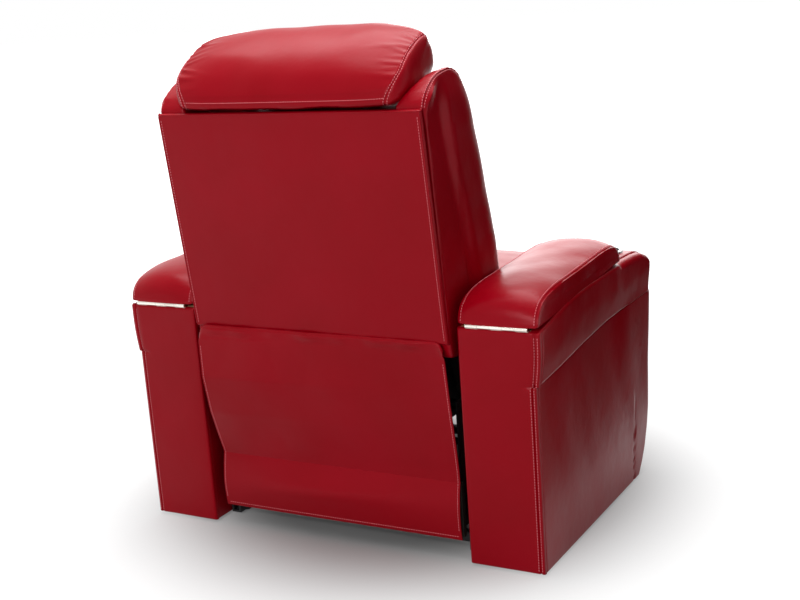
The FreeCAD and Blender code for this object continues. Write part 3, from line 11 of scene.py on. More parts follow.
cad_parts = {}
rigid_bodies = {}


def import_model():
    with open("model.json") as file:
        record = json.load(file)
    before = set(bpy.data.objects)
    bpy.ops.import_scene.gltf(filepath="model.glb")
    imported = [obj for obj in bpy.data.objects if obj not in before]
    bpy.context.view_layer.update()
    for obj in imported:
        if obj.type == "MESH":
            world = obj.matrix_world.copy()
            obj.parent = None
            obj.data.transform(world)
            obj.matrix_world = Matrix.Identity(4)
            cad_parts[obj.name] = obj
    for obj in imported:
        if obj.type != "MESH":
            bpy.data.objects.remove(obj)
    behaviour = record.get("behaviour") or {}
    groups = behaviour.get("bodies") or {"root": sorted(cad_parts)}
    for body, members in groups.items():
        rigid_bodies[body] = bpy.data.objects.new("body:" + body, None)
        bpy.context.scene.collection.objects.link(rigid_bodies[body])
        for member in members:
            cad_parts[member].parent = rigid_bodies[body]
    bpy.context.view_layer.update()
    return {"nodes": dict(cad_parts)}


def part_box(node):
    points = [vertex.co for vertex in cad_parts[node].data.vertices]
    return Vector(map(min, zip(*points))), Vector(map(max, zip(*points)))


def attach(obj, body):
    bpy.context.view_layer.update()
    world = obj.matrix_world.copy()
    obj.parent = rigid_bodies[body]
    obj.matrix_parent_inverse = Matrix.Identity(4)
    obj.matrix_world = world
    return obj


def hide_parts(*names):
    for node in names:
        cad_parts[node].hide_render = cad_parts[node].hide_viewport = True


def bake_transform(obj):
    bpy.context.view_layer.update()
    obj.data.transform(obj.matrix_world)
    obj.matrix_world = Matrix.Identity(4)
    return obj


for default in list(bpy.data.objects):
    bpy.data.objects.remove(default)

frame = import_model()

# Points are worked out in millimetres as (x, ahead, z). "ahead" is measured towards the sitter's
# knees from the rear face of the arms, so a point's Y in the frame is rear_face - ahead.
ARM_LOW_WIDE = 162
ARM_HIGH_WIDE = 172
rear_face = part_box("arm_rear_pads")[1].y * 1000
arm_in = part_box("arm_rear_pads")[1].x * 1000 - ARM_HIGH_WIDE
arm_low_out = arm_in + ARM_LOW_WIDE
arm_high_out = arm_in + ARM_HIGH_WIDE
arm_middle = (arm_in + arm_high_out) / 2
back_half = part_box("outside_back_panel")[1].x * 1000
skirt_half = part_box("rear_skirt")[1].x * 1000
SIDES = ((1, "left"), (-1, "right"))


# Curves and grids


def smooth(value, low, high):
    """0 below low, 1 above high, and an S-shaped rise between them."""
    t = np.clip((np.asarray(value, float) - low) / (high - low), 0, 1)
    return t * t * (3 - 2 * t)


def rounded(value):
    """0 below 0, 1 above 1, and a quarter circle between them that starts steep and ends level."""
    return np.sqrt(1 - (1 - np.clip(value, 0, 1)) ** 2)


def lengths(path):
    """The distance along a path, from its first point to each of its points."""
    return np.concatenate([[0], np.cumsum(np.linalg.norm(np.diff(path, axis=0), axis=1))])


def curve(points, count, closed=False):
    """count points, evenly spaced by length, on the Catmull-Rom curve through the given points."""
    p = np.asarray(points, float)
    spans = len(p) if closed else len(p) - 1
    t = np.linspace(0, spans, 24 * spans + 1)[: None if not closed else -1]
    i = np.minimum(t.astype(int), spans - 1)
    f = (t - i)[:, None]

    def at(k):
        return p[(i + k) % len(p)] if closed else p[np.clip(i + k, 0, len(p) - 1)]

    a, b, c, d = at(-1), at(0), at(1), at(2)
    fine = 0.5 * (2 * b + (c - a) * f + (2 * a - 5 * b + 4 * c - d) * f**2 + (3 * b - a - 3 * c + d) * f**3)
    if closed:
        fine = np.vstack([fine, fine[:1]])
    far = lengths(fine)
    want = np.linspace(0, far[-1], count + 1 if closed else count)
    if closed:
        want = want[:-1]
    return np.stack([np.interp(want, far, fine[:, k]) for k in range(fine.shape[1])], axis=1)


def outline_from(points, count, first):
    """A closed curve through the points that starts beside the point called first."""
    line = curve(points, count, closed=True)
    start = np.argmin(np.linalg.norm(line - np.array(first), axis=1))
    return np.roll(line, -start, axis=0)


def ladder(length, step, rounds=(0, 0), lines=()):
    """Places from 0 to length: close together in the rounding at each end and beside each line."""
    turn = 1 - np.cos(np.linspace(0, math.pi / 2, 7))
    first, last = rounds
    places = [turn * first, length - turn * last]
    places.append(np.arange(first, length - last, step)[1:] if length > first + last else [])
    for line in lines:
        places.append(line + np.array([-6, -4, -2.6, -1.6, -0.8, 0, 0.8, 1.6, 2.6, 4, 6]))
    every = np.unique(np.round(np.clip(np.concatenate(places + [[0, length]]), 0, length), 3))
    keep = np.concatenate([[True], np.diff(every) > 0.25])
    return every[keep]


def ripple(points, scale, depth, seed, waves=7):
    """An uneven swell: sine waves of about one length but of random direction and phase, added up."""
    rng = np.random.default_rng(seed)
    total = 0
    for _ in range(waves):
        way = rng.normal(size=3)
        way *= rng.uniform(0.7, 1.4) * 2 * math.pi / scale / np.linalg.norm(way)
        total = total + np.sin(points @ way + rng.uniform(0, 2 * math.pi))
    return depth * total / math.sqrt(waves)


def gathers(along, away, spacing, reach, depth, seed):
    """Puckers beside a seam: ridges of uneven spacing, length and slant that die out away from it."""
    rng = np.random.default_rng(seed)
    low, high = float(np.min(along)), float(np.max(along))
    total = 0
    for number in range(int((high - low) / spacing)):
        middle = low + (number + rng.uniform(0.2, 0.8)) * spacing
        width = spacing * rng.uniform(0.16, 0.34)
        long = reach * rng.uniform(0.35, 1.0)
        slant = rng.uniform(-0.3, 0.3)
        tall = depth * rng.uniform(0.3, 1.0)
        total = total + tall * np.exp(-(((along - middle - slant * away) / width) ** 2) - (away / long) ** 2)
    return total


def groove(distance, width, depth):
    """The furrow of a seam: a bell-shaped dip at distance 0."""
    return -depth * np.exp(-((distance / width) ** 2))


class Grid:
    """A grid of points with its places along the rows and the columns. The columns may close in a ring."""

    def __init__(self, rows, cols, points, ring=False):
        self.rows, self.cols, self.points, self.ring = rows, cols, points, ring

    def spot(self, row, col):
        """The points at these places, by straight interpolation between the grid's own."""
        r = np.interp(row, self.rows, np.arange(len(self.rows)))
        c = np.interp(col, self.cols, np.arange(len(self.cols)))
        r0 = np.clip(r.astype(int), 0, len(self.rows) - 2)
        c0 = np.clip(c.astype(int), 0, len(self.cols) - 2)
        fr, fc = (r - r0)[..., None], (c - c0)[..., None]
        p = self.points
        low = p[r0, c0] * (1 - fc) + p[r0, c0 + 1] * fc
        high = p[r0 + 1, c0] * (1 - fc) + p[r0 + 1, c0 + 1] * fc
        return low * (1 - fr) + high * fr

    def normals(self, inside):
        """Unit normals of the grid that point away from the point called inside."""
        p = self.points
        if self.ring:
            across = np.roll(p, -1, axis=1) - np.roll(p, 1, axis=1)
        else:
            across = np.gradient(p, axis=1)
        n = np.cross(np.gradient(p, axis=0), across)
        n /= np.maximum(np.linalg.norm(n, axis=2, keepdims=True), 1e-9)
        toward = np.sum(n * (p - np.asarray(inside, float)), axis=2).mean()
        return n if toward > 0 else -n


def grid_faces(rows, cols, ring=False, start=0):
    """The four corners of each cell of a grid of points."""
    r, c = np.meshgrid(np.arange(rows - 1), np.arange(cols if ring else cols - 1), indexing="ij")
    c1 = (c + 1) % cols
    cells = np.stack([r * cols + c, (r + 1) * cols + c, (r + 1) * cols + c1, r * cols + c1], axis=-1)
    return cells.reshape(-1, 4) + start


def to_mesh(name, points, faces, extra=()):
    """A mesh from points in millimetres and four-cornered faces, merged, closed and facing outwards."""
    points = points.reshape(-1, 3)
    co = np.stack([points[:, 0], rear_face - points[:, 1], points[:, 2]], axis=1) / 1000
    mesh = bpy.data.meshes.new(name)
    mesh.vertices.add(len(co))
    mesh.vertices.foreach_set("co", co.astype(np.float32).ravel())
    mesh.loops.add(faces.size)
    mesh.loops.foreach_set("vertex_index", faces.astype(np.int32).ravel())
    mesh.polygons.add(len(faces))
    mesh.polygons.foreach_set("loop_start", np.arange(0, faces.size, 4, dtype=np.int32))
    mesh.update(calc_edges=True)
    bm = bmesh.new()
    bm.from_mesh(mesh)
    bm.verts.ensure_lookup_table()
    for ring in extra:
        bm.faces.new([bm.verts[i] for i in ring])
    bmesh.ops.remove_doubles(bm, verts=bm.verts, dist=2e-5)
    bmesh.ops.dissolve_degenerate(bm, edges=bm.edges, dist=1e-6)
    bmesh.ops.recalc_face_normals(bm, faces=bm.faces)
    bm.to_mesh(mesh)
    bm.free()
    mesh.shade_smooth()
    mesh.set_sharp_from_angle(angle=math.radians(48))
    return mesh


def stand(name, data):
    """An object of this name in the scene, at the origin."""
    made = bpy.data.objects.new(name, data)
    bpy.context.scene.collection.objects.link(made)
    return made


def applied(made):
    """A new mesh of an object with its modifiers worked in."""
    bpy.context.view_layer.update()
    shown = made.evaluated_get(bpy.context.evaluated_depsgraph_get())
    return bpy.data.meshes.new_from_object(shown)


def piece(name, mesh, material, body, nodes=()):
    """Puts a mesh into the scene on a body, with its material and what it stands for."""
    made = stand(name, mesh)
    mesh.materials.clear()
    mesh.materials.append(material)
    if body:
        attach(made, body)
    if nodes:
        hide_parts(*nodes)
    return made


def mirrored(points, side):
    """The same points on the sitter's left for side 1 and on the right for side -1."""
    return points * np.array([side, 1, 1])


# Materials


def linear(code):
    """An sRGB hex colour as linear red, green and blue with full alpha."""
    values = [int(code[i : i + 2], 16) / 255 for i in (1, 3, 5)]
    return (*(v / 12.92 if v <= 0.04045 else ((v + 0.055) / 1.055) ** 2.4 for v in values), 1.0)


def add(tree, kind, inputs=None, stops=(), **settings):
    """A shader node with its settings. An input is a plain value, or another node's output to link.
    stops are the places of a colour ramp, each with its hex colour."""
    made = tree.nodes.new(kind)
    for key, value in settings.items():
        setattr(made, key, value)
    for key, value in (inputs or {}).items():
        if isinstance(value, bpy.types.NodeSocket):
            tree.links.new(value, made.inputs[key])
        else:
            made.inputs[key].default_value = value
    for number, (place, code) in enumerate(stops):
        made.color_ramp.elements[number].position = place
        made.color_ramp.elements[number].color = linear(code)
    return made


def blank(name):
    """A new material, its empty tree, and the places on the object that its patterns read."""
    made = bpy.data.materials.new(name)
    made.use_nodes = True
    made.node_tree.nodes.clear()
    return made, made.node_tree, add(made.node_tree, "ShaderNodeTexCoord").outputs["Object"]


def glossy_leather(name, deep, full, roughness=0.3):
    """Corrected-grain upholstery leather, pigmented and sealed: an even deep colour under a smooth,
    slightly glossy lacquer, with a fine embossed grain and soft creases that break up the highlights."""
    made, tree, spot = blank(name)
    # The colour drifts over 200 mm.
    cloud = add(tree, "ShaderNodeTexNoise", {"Vector": spot, "Scale": 1 / 0.2, "Detail": 3.0})
    colour = add(tree, "ShaderNodeValToRGB", {"Fac": cloud.outputs["Fac"]}, ((0.3, deep), (0.7, full)))
    # Pores are 1.1 mm apart, drawn at 1.6 mm so that they show.
    pores = add(tree, "ShaderNodeTexVoronoi", {"Vector": spot, "Scale": 1 / 0.0016}, feature="SMOOTH_F1")
    # Soft creases are 45 mm apart, and the shine changes in patches of 30 mm.
    creases = add(tree, "ShaderNodeTexNoise", {"Vector": spot, "Scale": 1 / 0.045, "Detail": 4.0})
    soft = add(
        tree,
        "ShaderNodeBump",
        {"Height": creases.outputs["Fac"], "Strength": 0.2, "Distance": 0.004},
    )
    fine = add(
        tree,
        "ShaderNodeBump",
        {
            "Height": pores.outputs["Distance"],
            "Strength": 0.05,
            "Distance": 0.0002,
            "Normal": soft.outputs[0],
        },
    )
    patches = add(tree, "ShaderNodeTexNoise", {"Vector": spot, "Scale": 1 / 0.03, "Detail": 2.0})
    shine = add(
        tree,
        "ShaderNodeMapRange",
        {"Value": patches.outputs["Fac"], "To Min": roughness - 0.04, "To Max": roughness + 0.05},
    )
    shader = add(
        tree,
        "ShaderNodeBsdfPrincipled",
        {
            "Base Color": colour.outputs["Color"],
            "Roughness": shine.outputs[0],
            "Normal": fine.outputs[0],
            "IOR": 1.5,
            "Specular IOR Level": 0.23,
            "Specular Tint": (1.0, 0.45, 0.5, 1.0),
        },
    )
    add(tree, "ShaderNodeOutputMaterial", {"Surface": shader.outputs[0]})
    return made


def thread(name, shaded_hollow, lit_ridge):
    """Bonded polyester thread: plain, a little shiny, with the turns of its twist, 1.3 mm long, painted
    darker in their hollows as painted shade and paler on their ridges as painted highlight.
    """
    made, tree, spot = blank(name)
    twist = add(tree, "ShaderNodeTexWave", {"Vector": spot, "Scale": 1 / 0.004, "Distortion": 1.5})
    # The twist's hollows are painted darker as painted shade, and its ridges paler as painted highlight.
    tone = add(tree, "ShaderNodeValToRGB", {"Fac": twist.outputs["Fac"]}, ((0.0, shaded_hollow), (1.0, lit_ridge)))
    bump = add(
        tree,
        "ShaderNodeBump",
        {"Height": twist.outputs["Fac"], "Strength": 0.3, "Distance": 0.0002},
    )
    shader = add(
        tree,
        "ShaderNodeBsdfPrincipled",
        {"Base Color": tone.outputs["Color"], "Roughness": 0.5, "Normal": bump.outputs[0]},
    )
    add(tree, "ShaderNodeOutputMaterial", {"Surface": shader.outputs[0]})
    return made


def plywood(name, dark, light, glue):
    """Birch plywood in its raw colour, or painted near black as painted shade: fine grain along Y and the
    thin glue lines of its plies.
    """
    made, tree, spot = blank(name)
    # Fibres are 1 / (60 x 4) m, or 4 mm, wide and ten times as long.
    along = add(tree, "ShaderNodeMapping", {"Vector": spot, "Scale": (60.0, 6.0, 60.0)})
    grain = add(tree, "ShaderNodeTexNoise", {"Vector": along.outputs[0], "Scale": 4.0, "Detail": 8.0})
    wood = add(tree, "ShaderNodeValToRGB", {"Fac": grain.outputs["Fac"]}, ((0.3, dark), (0.7, light)))
    # Plies are 1.5 mm thick: a wave's period is 0.31 of 1 / its scale and spans two plies.
    plies = add(tree, "ShaderNodeTexWave", {"Vector": spot, "Scale": 1 / 0.0098}, bands_direction="X")
    lines = add(tree, "ShaderNodeValToRGB", {"Fac": plies.outputs["Fac"]}, ((0.0, glue), (1.0, light)))
    mixed = add(
        tree,
        "ShaderNodeMix",
        {"Factor": 0.12, "A": wood.outputs["Color"], "B": lines.outputs["Color"]},
        data_type="RGBA",
    )
    bump = add(
        tree,
        "ShaderNodeBump",
        {"Height": grain.outputs["Fac"], "Strength": 0.15, "Distance": 0.0005},
    )
    shader = add(
        tree,
        "ShaderNodeBsdfPrincipled",
        {"Base Color": mixed.outputs[2], "Roughness": 0.68, "Normal": bump.outputs[0]},
    )
    add(tree, "ShaderNodeOutputMaterial", {"Surface": shader.outputs[0]})
    return made


def metal(name, dark, light, roughness, lay=(1.0, 1.0, 1.0), per_metre=900.0):
    """Bare or plated metal. Its fine marks are 1.1 mm wide, 900 per_metre, coarse enough to show. lay packs
    them closer along an axis: alike for plating, and long one way for brushing."""
    made, tree, spot = blank(name)
    laid = add(tree, "ShaderNodeMapping", {"Vector": spot, "Scale": lay})
    marks = add(tree, "ShaderNodeTexNoise", {"Vector": laid.outputs[0], "Scale": per_metre, "Detail": 4.0})
    # The plating's tone drifts over 71 mm.
    clouds = add(tree, "ShaderNodeTexNoise", {"Vector": spot, "Scale": 14.0, "Detail": 2.0})
    tone = add(tree, "ShaderNodeValToRGB", {"Fac": clouds.outputs["Fac"]}, ((0.35, dark), (0.65, light)))
    shine = add(
        tree,
        "ShaderNodeMapRange",
        {"Value": marks.outputs["Fac"], "To Min": roughness * 0.8, "To Max": roughness * 1.25},
    )
    bump = add(
        tree,
        "ShaderNodeBump",
        {"Height": marks.outputs["Fac"], "Strength": 0.25, "Distance": 0.0001},
    )
    shader = add(
        tree,
        "ShaderNodeBsdfPrincipled",
        {
            "Base Color": tone.outputs["Color"],
            "Metallic": 1.0,
            "Roughness": shine.outputs[0],
            "Normal": bump.outputs[0],
        },
    )
    add(tree, "ShaderNodeOutputMaterial", {"Surface": shader.outputs[0]})
    return made


def plastic(name, dark, light, roughness, grain_mm, depth=0.0002, coat=0.0):
    """Moulded plastic or paint: a plain colour with the small texture of its mould or spray, grain_mm
    wide and depth metres deep. coat adds a clear layer."""
    made, tree, spot = blank(name)
    grain = add(tree, "ShaderNodeTexNoise", {"Vector": spot, "Scale": 1000 / grain_mm, "Detail": 3.0})
    # The tone drifts over 83 mm.
    clouds = add(tree, "ShaderNodeTexNoise", {"Vector": spot, "Scale": 12.0})
    tone = add(tree, "ShaderNodeValToRGB", {"Fac": clouds.outputs["Fac"]}, ((0.35, dark), (0.65, light)))
    bump = add(
        tree,
        "ShaderNodeBump",
        {"Height": grain.outputs["Fac"], "Strength": 0.2, "Distance": depth},
    )
    shine = add(
        tree,
        "ShaderNodeMapRange",
        {"Value": clouds.outputs["Fac"], "To Min": roughness - 0.04, "To Max": roughness + 0.05},
    )
    shader = add(
        tree,
        "ShaderNodeBsdfPrincipled",
        {
            "Base Color": tone.outputs["Color"],
            "Roughness": shine.outputs[0],
            "Normal": bump.outputs[0],
            "Coat Weight": coat,
            "Coat Roughness": 0.1,
        },
    )
    add(tree, "ShaderNodeOutputMaterial", {"Surface": shader.outputs[0]})
    return made


# Wine-red cover leather. The softer seat leather is a little less shiny.
LEATHER = ("#990010", "#A20016")
red_leather = glossy_leather("red_glossy_leather", *LEATHER)
seat_leather = glossy_leather("red_seat_leather", *LEATHER, 0.33)
# Top stitching, paler than the leather.
red_thread = thread("bonded_red_thread", "#D8606C", "#EE8C94")
# Raw boards of the arms and lids, and near-black boards of the frames inside, whose colour is painted shade
# that keeps the seat's gaps dark.
plywood("birch_plywood", "#B08A5B", "#DDBE8E", "#6B4A2B")
plywood("near_black_plywood_painted_shade", "#17130F", "#231D17", "#0C0A08")
# Frames: powder baked on steel, satin with a slight orange peel.
plastic("black_powder_coat", "#161617", "#1E1E20", 0.42, 1.2, 0.0003)
# Bright plated pins, satin hinges, oiled springs, brushed cup holders and polished buttons.
metal("bright_zinc_plate", "#9EA3A8", "#C4C8CC", 0.28)
metal("satin_nickel", "#D9D2C8", "#F2EDE4", 0.24, (1.0, 8.0, 8.0), 300.0)
metal("oiled_spring_steel", "#4A4A4C", "#6A6A6C", 0.35)
metal("brushed_stainless", "#A6A8AA", "#C6C8CA", 0.26, (6.0, 6.0, 400.0), 4.0)
metal("polished_chrome", "#D6D8DA", "#E8EAEC", 0.08)
# Matt moulded housings and bins, the glossy switch plate, painted drives and dull nylon glides.
plastic("black_abs", "#121213", "#1A1A1C", 0.5, 0.8)
plastic("bin_polypropylene", "#18181A", "#202022", 0.55, 1.0, 0.0003)
plastic("gloss_black_acrylic", "#08080A", "#0E0E10", 0.12, 6.0, 0.00005, 0.5)
plastic("satin_black_enamel", "#141416", "#1C1C1E", 0.36, 2.0)
plastic("moulded_nylon", "#2A2A2A", "#333333", 0.5, 1.5)

CAD_FINISHES = {
    "birch_plywood": ("arm_side_boards", "arm_end_boards", "lid_left_board", "lid_right_board"),
    # The seat, back and footrest boards are painted near black as painted shade for the seat's gaps.
    "near_black_plywood_painted_shade": ("seat_frame", "back_frame", "footrest_board"),
    "black_powder_coat": ("base_side_rails", "base_cross_tubes", "arm_mounting_blocks", "seat_side_plates",
                          "seat_cross_bars", "back_brackets", "back_pivot_tube", "headrest_frame",
                          "headrest_hinge", "footrest_drive_tube", "footrest_rear_cranks",
                          "footrest_couplers", "footrest_drag_links", "footrest_brackets"),
    "bright_zinc_plate": ("headrest_pivot_rod", "rear_crank_rivets", "coupler_rivets", "drag_link_rivets",
                          "footrest_actuator_rod", "recline_actuator_rod"),
    "satin_nickel": ("hinge_lower_leaves", "hinge_pins", "lid_left_hinge_leaf", "lid_right_hinge_leaf"),
    "oiled_spring_steel": ("seat_springs",),
    "brushed_stainless": ("cup_holders",),
    "polished_chrome": ("recline_button", "upright_button", "headrest_forward_button",
                        "headrest_back_button"),
    "black_abs": ("power_adapter", "headrest_motor"),
    "bin_polypropylene": ("arm_storage_bins",),
    "gloss_black_acrylic": ("control_panel",),
    "satin_black_enamel": ("footrest_actuator", "recline_actuator"),
    "moulded_nylon": ("floor_glides", "seat_guide_blocks"),
}
for finish, names in CAD_FINISHES.items():
    for name in names:
        mesh = frame["nodes"][name].data
        mesh.materials.clear()
        mesh.materials.append(bpy.data.materials[finish])


# Shapes that several covers share


def facing(x, y, z):
    """The outward direction of a pad that is the same everywhere."""

    def out(S, T):
        return np.broadcast_to([float(x), float(y), float(z)], (*S.shape, 3))

    return out


def pad(name, plan, out, s, t, thick, rounds, swell=0.0, carve=None):
    """A padded cover on a flat or curved base.

    plan(S, T) gives the base's points at the places s and t, and out(S, T) the unit vectors that point
    away from the base. The cover stands thick above it, a number or a function of S and T, and swells
    towards its middle. rounds are the radii of its four edges: s low, s high, t low and t high. An edge
    falls by its radius along a quarter circle. carve(S, T) adds seams and folds.
    Returns the closed mesh and the outer grid.
    """
    S, T = np.meshgrid(s, t, indexing="ij")
    base, way = plan(S, T), out(S, T)
    full = thick(S, T) if callable(thick) else thick + 0 * S
    u, v = 2 * S / s[-1] - 1, 2 * T / t[-1] - 1
    high = full + swell * (1 - np.abs(u) ** 2.6) * (1 - np.abs(v) ** 2.6)
    for far, radius in zip((S, s[-1] - S, T, t[-1] - T), rounds):
        high = high - np.minimum(radius, full) * (1 - rounded(far / np.maximum(radius, 0.01)))
    if carve is not None:
        high = high + carve(S, T)
    outer = base + way * np.maximum(high, 0.6)[..., None]
    walled = np.concatenate([base[:1], outer, base[-1:]], axis=0)
    edge0 = np.concatenate([base[:1, :1], base[:, :1], base[-1:, :1]], axis=0)
    edge1 = np.concatenate([base[:1, -1:], base[:, -1:], base[-1:, -1:]], axis=0)
    walled = np.concatenate([edge0, walled, edge1], axis=1)
    count = walled.shape[0] * walled.shape[1]
    faces = np.concatenate([grid_faces(*walled.shape[:2]), grid_faces(*base.shape[:2], start=count)])
    points = np.concatenate([walled.reshape(-1, 3), base.reshape(-1, 3)])
    return to_mesh(name, points, faces), Grid(s, t, outer)


def beside(grid, row, offset):
    """The place along the rows that lies this far, in millimetres on average, from a row by its number."""
    steps = np.linalg.norm(np.diff(grid.points, axis=0), axis=2).mean(axis=1)
    far = np.concatenate([[0], np.cumsum(steps)])
    numbers = np.arange(len(far))
    return float(np.interp(np.interp(row, numbers, far) + offset, far, grid.rows))


def capsule(name, rows, cols, points):
    """A closed form from rings of points: the first and last rings are small and are filled flat."""
    count, around = points.shape[:2]
    faces = grid_faces(count, around, ring=True)
    last = (count - 1) * around
    ends = (list(range(around)), list(range(last, last + around)))
    return to_mesh(name, points, faces, ends), Grid(rows, cols, points, ring=True)


def tube(name, path, radius, sides=8):
    """A closed round cord along a path, with flat ends. A point that repeats the one before is left out."""
    moved = np.linalg.norm(np.diff(path, axis=0), axis=1) > 0.001
    path = path[np.concatenate([[True], moved])]
    way = np.gradient(path, axis=0)
    way /= np.linalg.norm(way, axis=1, keepdims=True)
    up = np.where(np.abs(way[:, 2:]) > 0.9, [[1.0, 0, 0]], [[0, 0, 1.0]])
    first = np.cross(way, up)
    first /= np.linalg.norm(first, axis=1, keepdims=True)
    second = np.cross(way, first)
    turn = np.linspace(0, 2 * math.pi, sides, endpoint=False)
    ring = np.cos(turn)[:, None] * first[:, None] + np.sin(turn)[:, None] * second[:, None]
    points = path[:, None] + radius * ring
    return capsule(name, np.arange(len(path)), turn, points)[0]


def stitch_row(path, lift, pitch=5.6, long=4.4, radius=0.8):
    """Stitches along a path: a short thread every pitch, its ends dipping into the leather.

    Each stitch is a spindle of five rings whose radius follows a half circle. Returns points and faces.
    """
    far = lengths(path)
    middles = np.arange(pitch / 2, far[-1] - pitch / 2, pitch)
    share = np.array([-0.5, -0.3, 0, 0.3, 0.5])
    where = middles[:, None] + share[None] * long
    spots = np.stack([np.interp(where, far, path[:, k]) for k in range(3)], axis=-1)
    up = np.stack([np.interp(where, far, lift[:, k]) for k in range(3)], axis=-1)
    way = spots[:, -1:] - spots[:, :1]
    way = way / np.maximum(np.linalg.norm(way, axis=2, keepdims=True), 1e-9)
    side = np.cross(np.broadcast_to(way, up.shape), up)
    side /= np.maximum(np.linalg.norm(side, axis=2, keepdims=True), 1e-9)
    swell = radius * np.array([0.35, 0.9, 1.0, 0.9, 0.35])[None, :, None, None]
    raised = spots + up * (radius * np.array([-0.7, 0.2, 0.45, 0.2, -0.7]))[None, :, None]
    turn = np.linspace(0, 2 * math.pi, 6, endpoint=False)
    round_x, round_y = np.cos(turn)[:, None], np.sin(turn)[:, None]
    ring = round_x * side[:, :, None] + round_y * up[:, :, None]
    points = (raised[:, :, None] + swell * ring).reshape(-1, 3)
    one = grid_faces(5, 6, ring=True)
    ends = np.array([[0, 1, 2, 3], [0, 3, 4, 5], [24, 25, 26, 27], [24, 27, 28, 29]])
    each = np.concatenate([one, ends])
    faces = (each[None] + 30 * np.arange(len(middles))[:, None, None]).reshape(-1, 4)
    return points, faces


def stitches(name, rows, body, side=1):
    """One piece of thread made of several rows of stitches, each a path with its outward directions."""
    points, faces, start = [], [], 0
    for path, lift in rows:
        p, f = stitch_row(mirrored(path, side), mirrored(lift, side))
        points.append(p)
        faces.append(f + start)
        start += len(p)
    mesh = to_mesh(name, np.concatenate(points), np.concatenate(faces))
    return piece(name, mesh, red_thread, body)


def seam_path(grid, rows, cols, inside):
    """A path over a grid and the outward directions along it, for a row of stitches."""
    lift = Grid(grid.rows, grid.cols, grid.normals(inside), grid.ring)
    return grid.spot(rows, cols), lift.spot(rows, cols)


# Headrest: a stuffed roll with sewn-in end caps

# Outlines of side views are points (ahead, z), and a smooth curve goes through them.
HEAD_OUTLINE = [
    (-67, 938), (-63, 962), (-47, 998), (-17, 1034), (22, 1061), (62, 1076), (98, 1076), (125, 1057),
    (138, 1026), (141, 980), (142, 930), (136, 890), (112, 867), (82, 873), (38, 908), (-10, 922),
    (-58, 930),
]
HEAD_INSIDE = (0, 40, 985)


def headrest():
    """A closed outline of the roll's side view is carried across the seat. Towards each end it shrinks
    to a core line, by a fifth power of x, and past the seam it closes in a low dome. q is 0 on the
    outline and 1 on the core."""
    outline = outline_from(HEAD_OUTLINE, 150, (-64, 932))
    around = lengths(outline)
    core_ahead = np.clip(outline[:, 0], -10, 14)
    core = np.stack([core_ahead, 985 + (core_ahead + 10) * 0.3], axis=1)
    top = smooth(outline[:, 1], 960, 1050)
    seam_x = 230 + 28 * smooth(outline[:, 1], 925, 1005)
    tip_x = 269
    body_end = 1 - 0.2 * (1 - np.linspace(0, 1, 22)) ** 1.5
    body = np.concatenate([np.linspace(0, 0.8, 24, endpoint=False), body_end])[:, None]
    shrink = 0.06 + np.maximum(0.25 * top, 0.34 * smooth(outline[:, 0], 30, 120))
    q_body = shrink * body**5
    cap = 1 - np.cos(np.linspace(0, math.pi / 2, 20))[1:, None]
    x_cap = seam_x + (tip_x - seam_x) * rounded(cap)
    q_cap = q_body[-1] + (0.97 - q_body[-1]) * cap
    x = np.concatenate([body * seam_x, x_cap])
    q = np.concatenate([q_body, q_cap])
    x = np.concatenate([-x[:0:-1], x])
    q = np.concatenate([q[:0:-1], q])
    flat = outline[None] * (1 - q[..., None]) + core[None] * q[..., None]
    points = np.dstack([x, flat])
    grid = Grid(np.arange(len(x)), around, points, ring=True)
    away = np.abs(np.abs(x) - seam_x)
    inner = np.abs(x) <= seam_x + 1e-6
    # Puckers run in from both end seams, strongest on the upper rear, and a seam crosses the rear low down.
    upper = smooth(outline[:, 1], 960, 1030) * smooth(-outline[:, 0], -150, -60)
    folds = np.zeros_like(x)
    for side, seed in ((1, 3), (-1, 8)):
        here = (np.sign(x) == side) & inner
        puckers = gathers(around[None], away, spacing=17, reach=60, depth=4.4, seed=seed)
        folds += np.where(here, puckers, 0)
    folds *= 0.25 + 0.75 * upper
    shift = folds + ripple(points, scale=120, depth=0.9, seed=5)
    shift = shift + groove(away, width=2.6, depth=2.4) * np.where(inner, 1, 0.8)
    seam_z = 951
    rear_band = (np.abs(points[..., 2] - seam_z) < 12) & (points[..., 1] < -20)
    shift = shift + np.where(rear_band, groove(points[..., 2] - seam_z, width=2.2, depth=1.2), 0)
    points = points + grid.normals((0, 50, 980)) * shift[..., None]
    mesh, grid = capsule("headrest_cover", np.arange(len(x)), around, points)
    piece("headrest_cover", mesh, seat_leather, "headrest", ["headrest_cushion"])
    rows = []
    middle = (len(x) - 1) / 2
    seam_row = len(body) - 1
    loop = np.linspace(0, around[-1], 500)
    for side in (1, -1):
        for step in (-4.2, 4.2):
            row = beside(grid, middle + side * seam_row, step)
            rows.append(seam_path(grid, row + 0 * loop, loop, HEAD_INSIDE))
    across = np.linspace(middle - seam_row + 3, middle + seam_row - 3, 400)
    rows.append(seam_path(grid, across, np.full_like(across, 15.0), HEAD_INSIDE))
    stitches("headrest_stitching", rows, "headrest")


headrest()


# Back: side wings, outside panel and the flap that hangs below it

WING_OUTLINE = [
    (-50, 923), (-44, 942), (-27, 961), (3, 979), (40, 987), (68, 988), (100, 976), (124, 947), (147, 884),
    (174, 800), (199, 708), (222, 632), (231, 567), (230, 500), (222, 446), (200, 434), (100, 432),
    (20, 432), (0, 446), (-8, 520), (-20, 640), (-33, 780), (-42, 880),
]
CREASE = ((6, 931), (16, 877), (32, 809), (56, 737), (77, 666), (100, 571), (118, 470), (124, 430))
# The part of the outline that faces forward.
WING_FRONT = ((115, 960), *WING_OUTLINE[7:14], (222, 430))
WING_WIDE = 59


def by_height(table, z):
    """The distance ahead at a height, between the given points."""
    rows = sorted((high, ahead) for ahead, high in table)
    return np.interp(z, [r[0] for r in rows], [r[1] for r in rows])


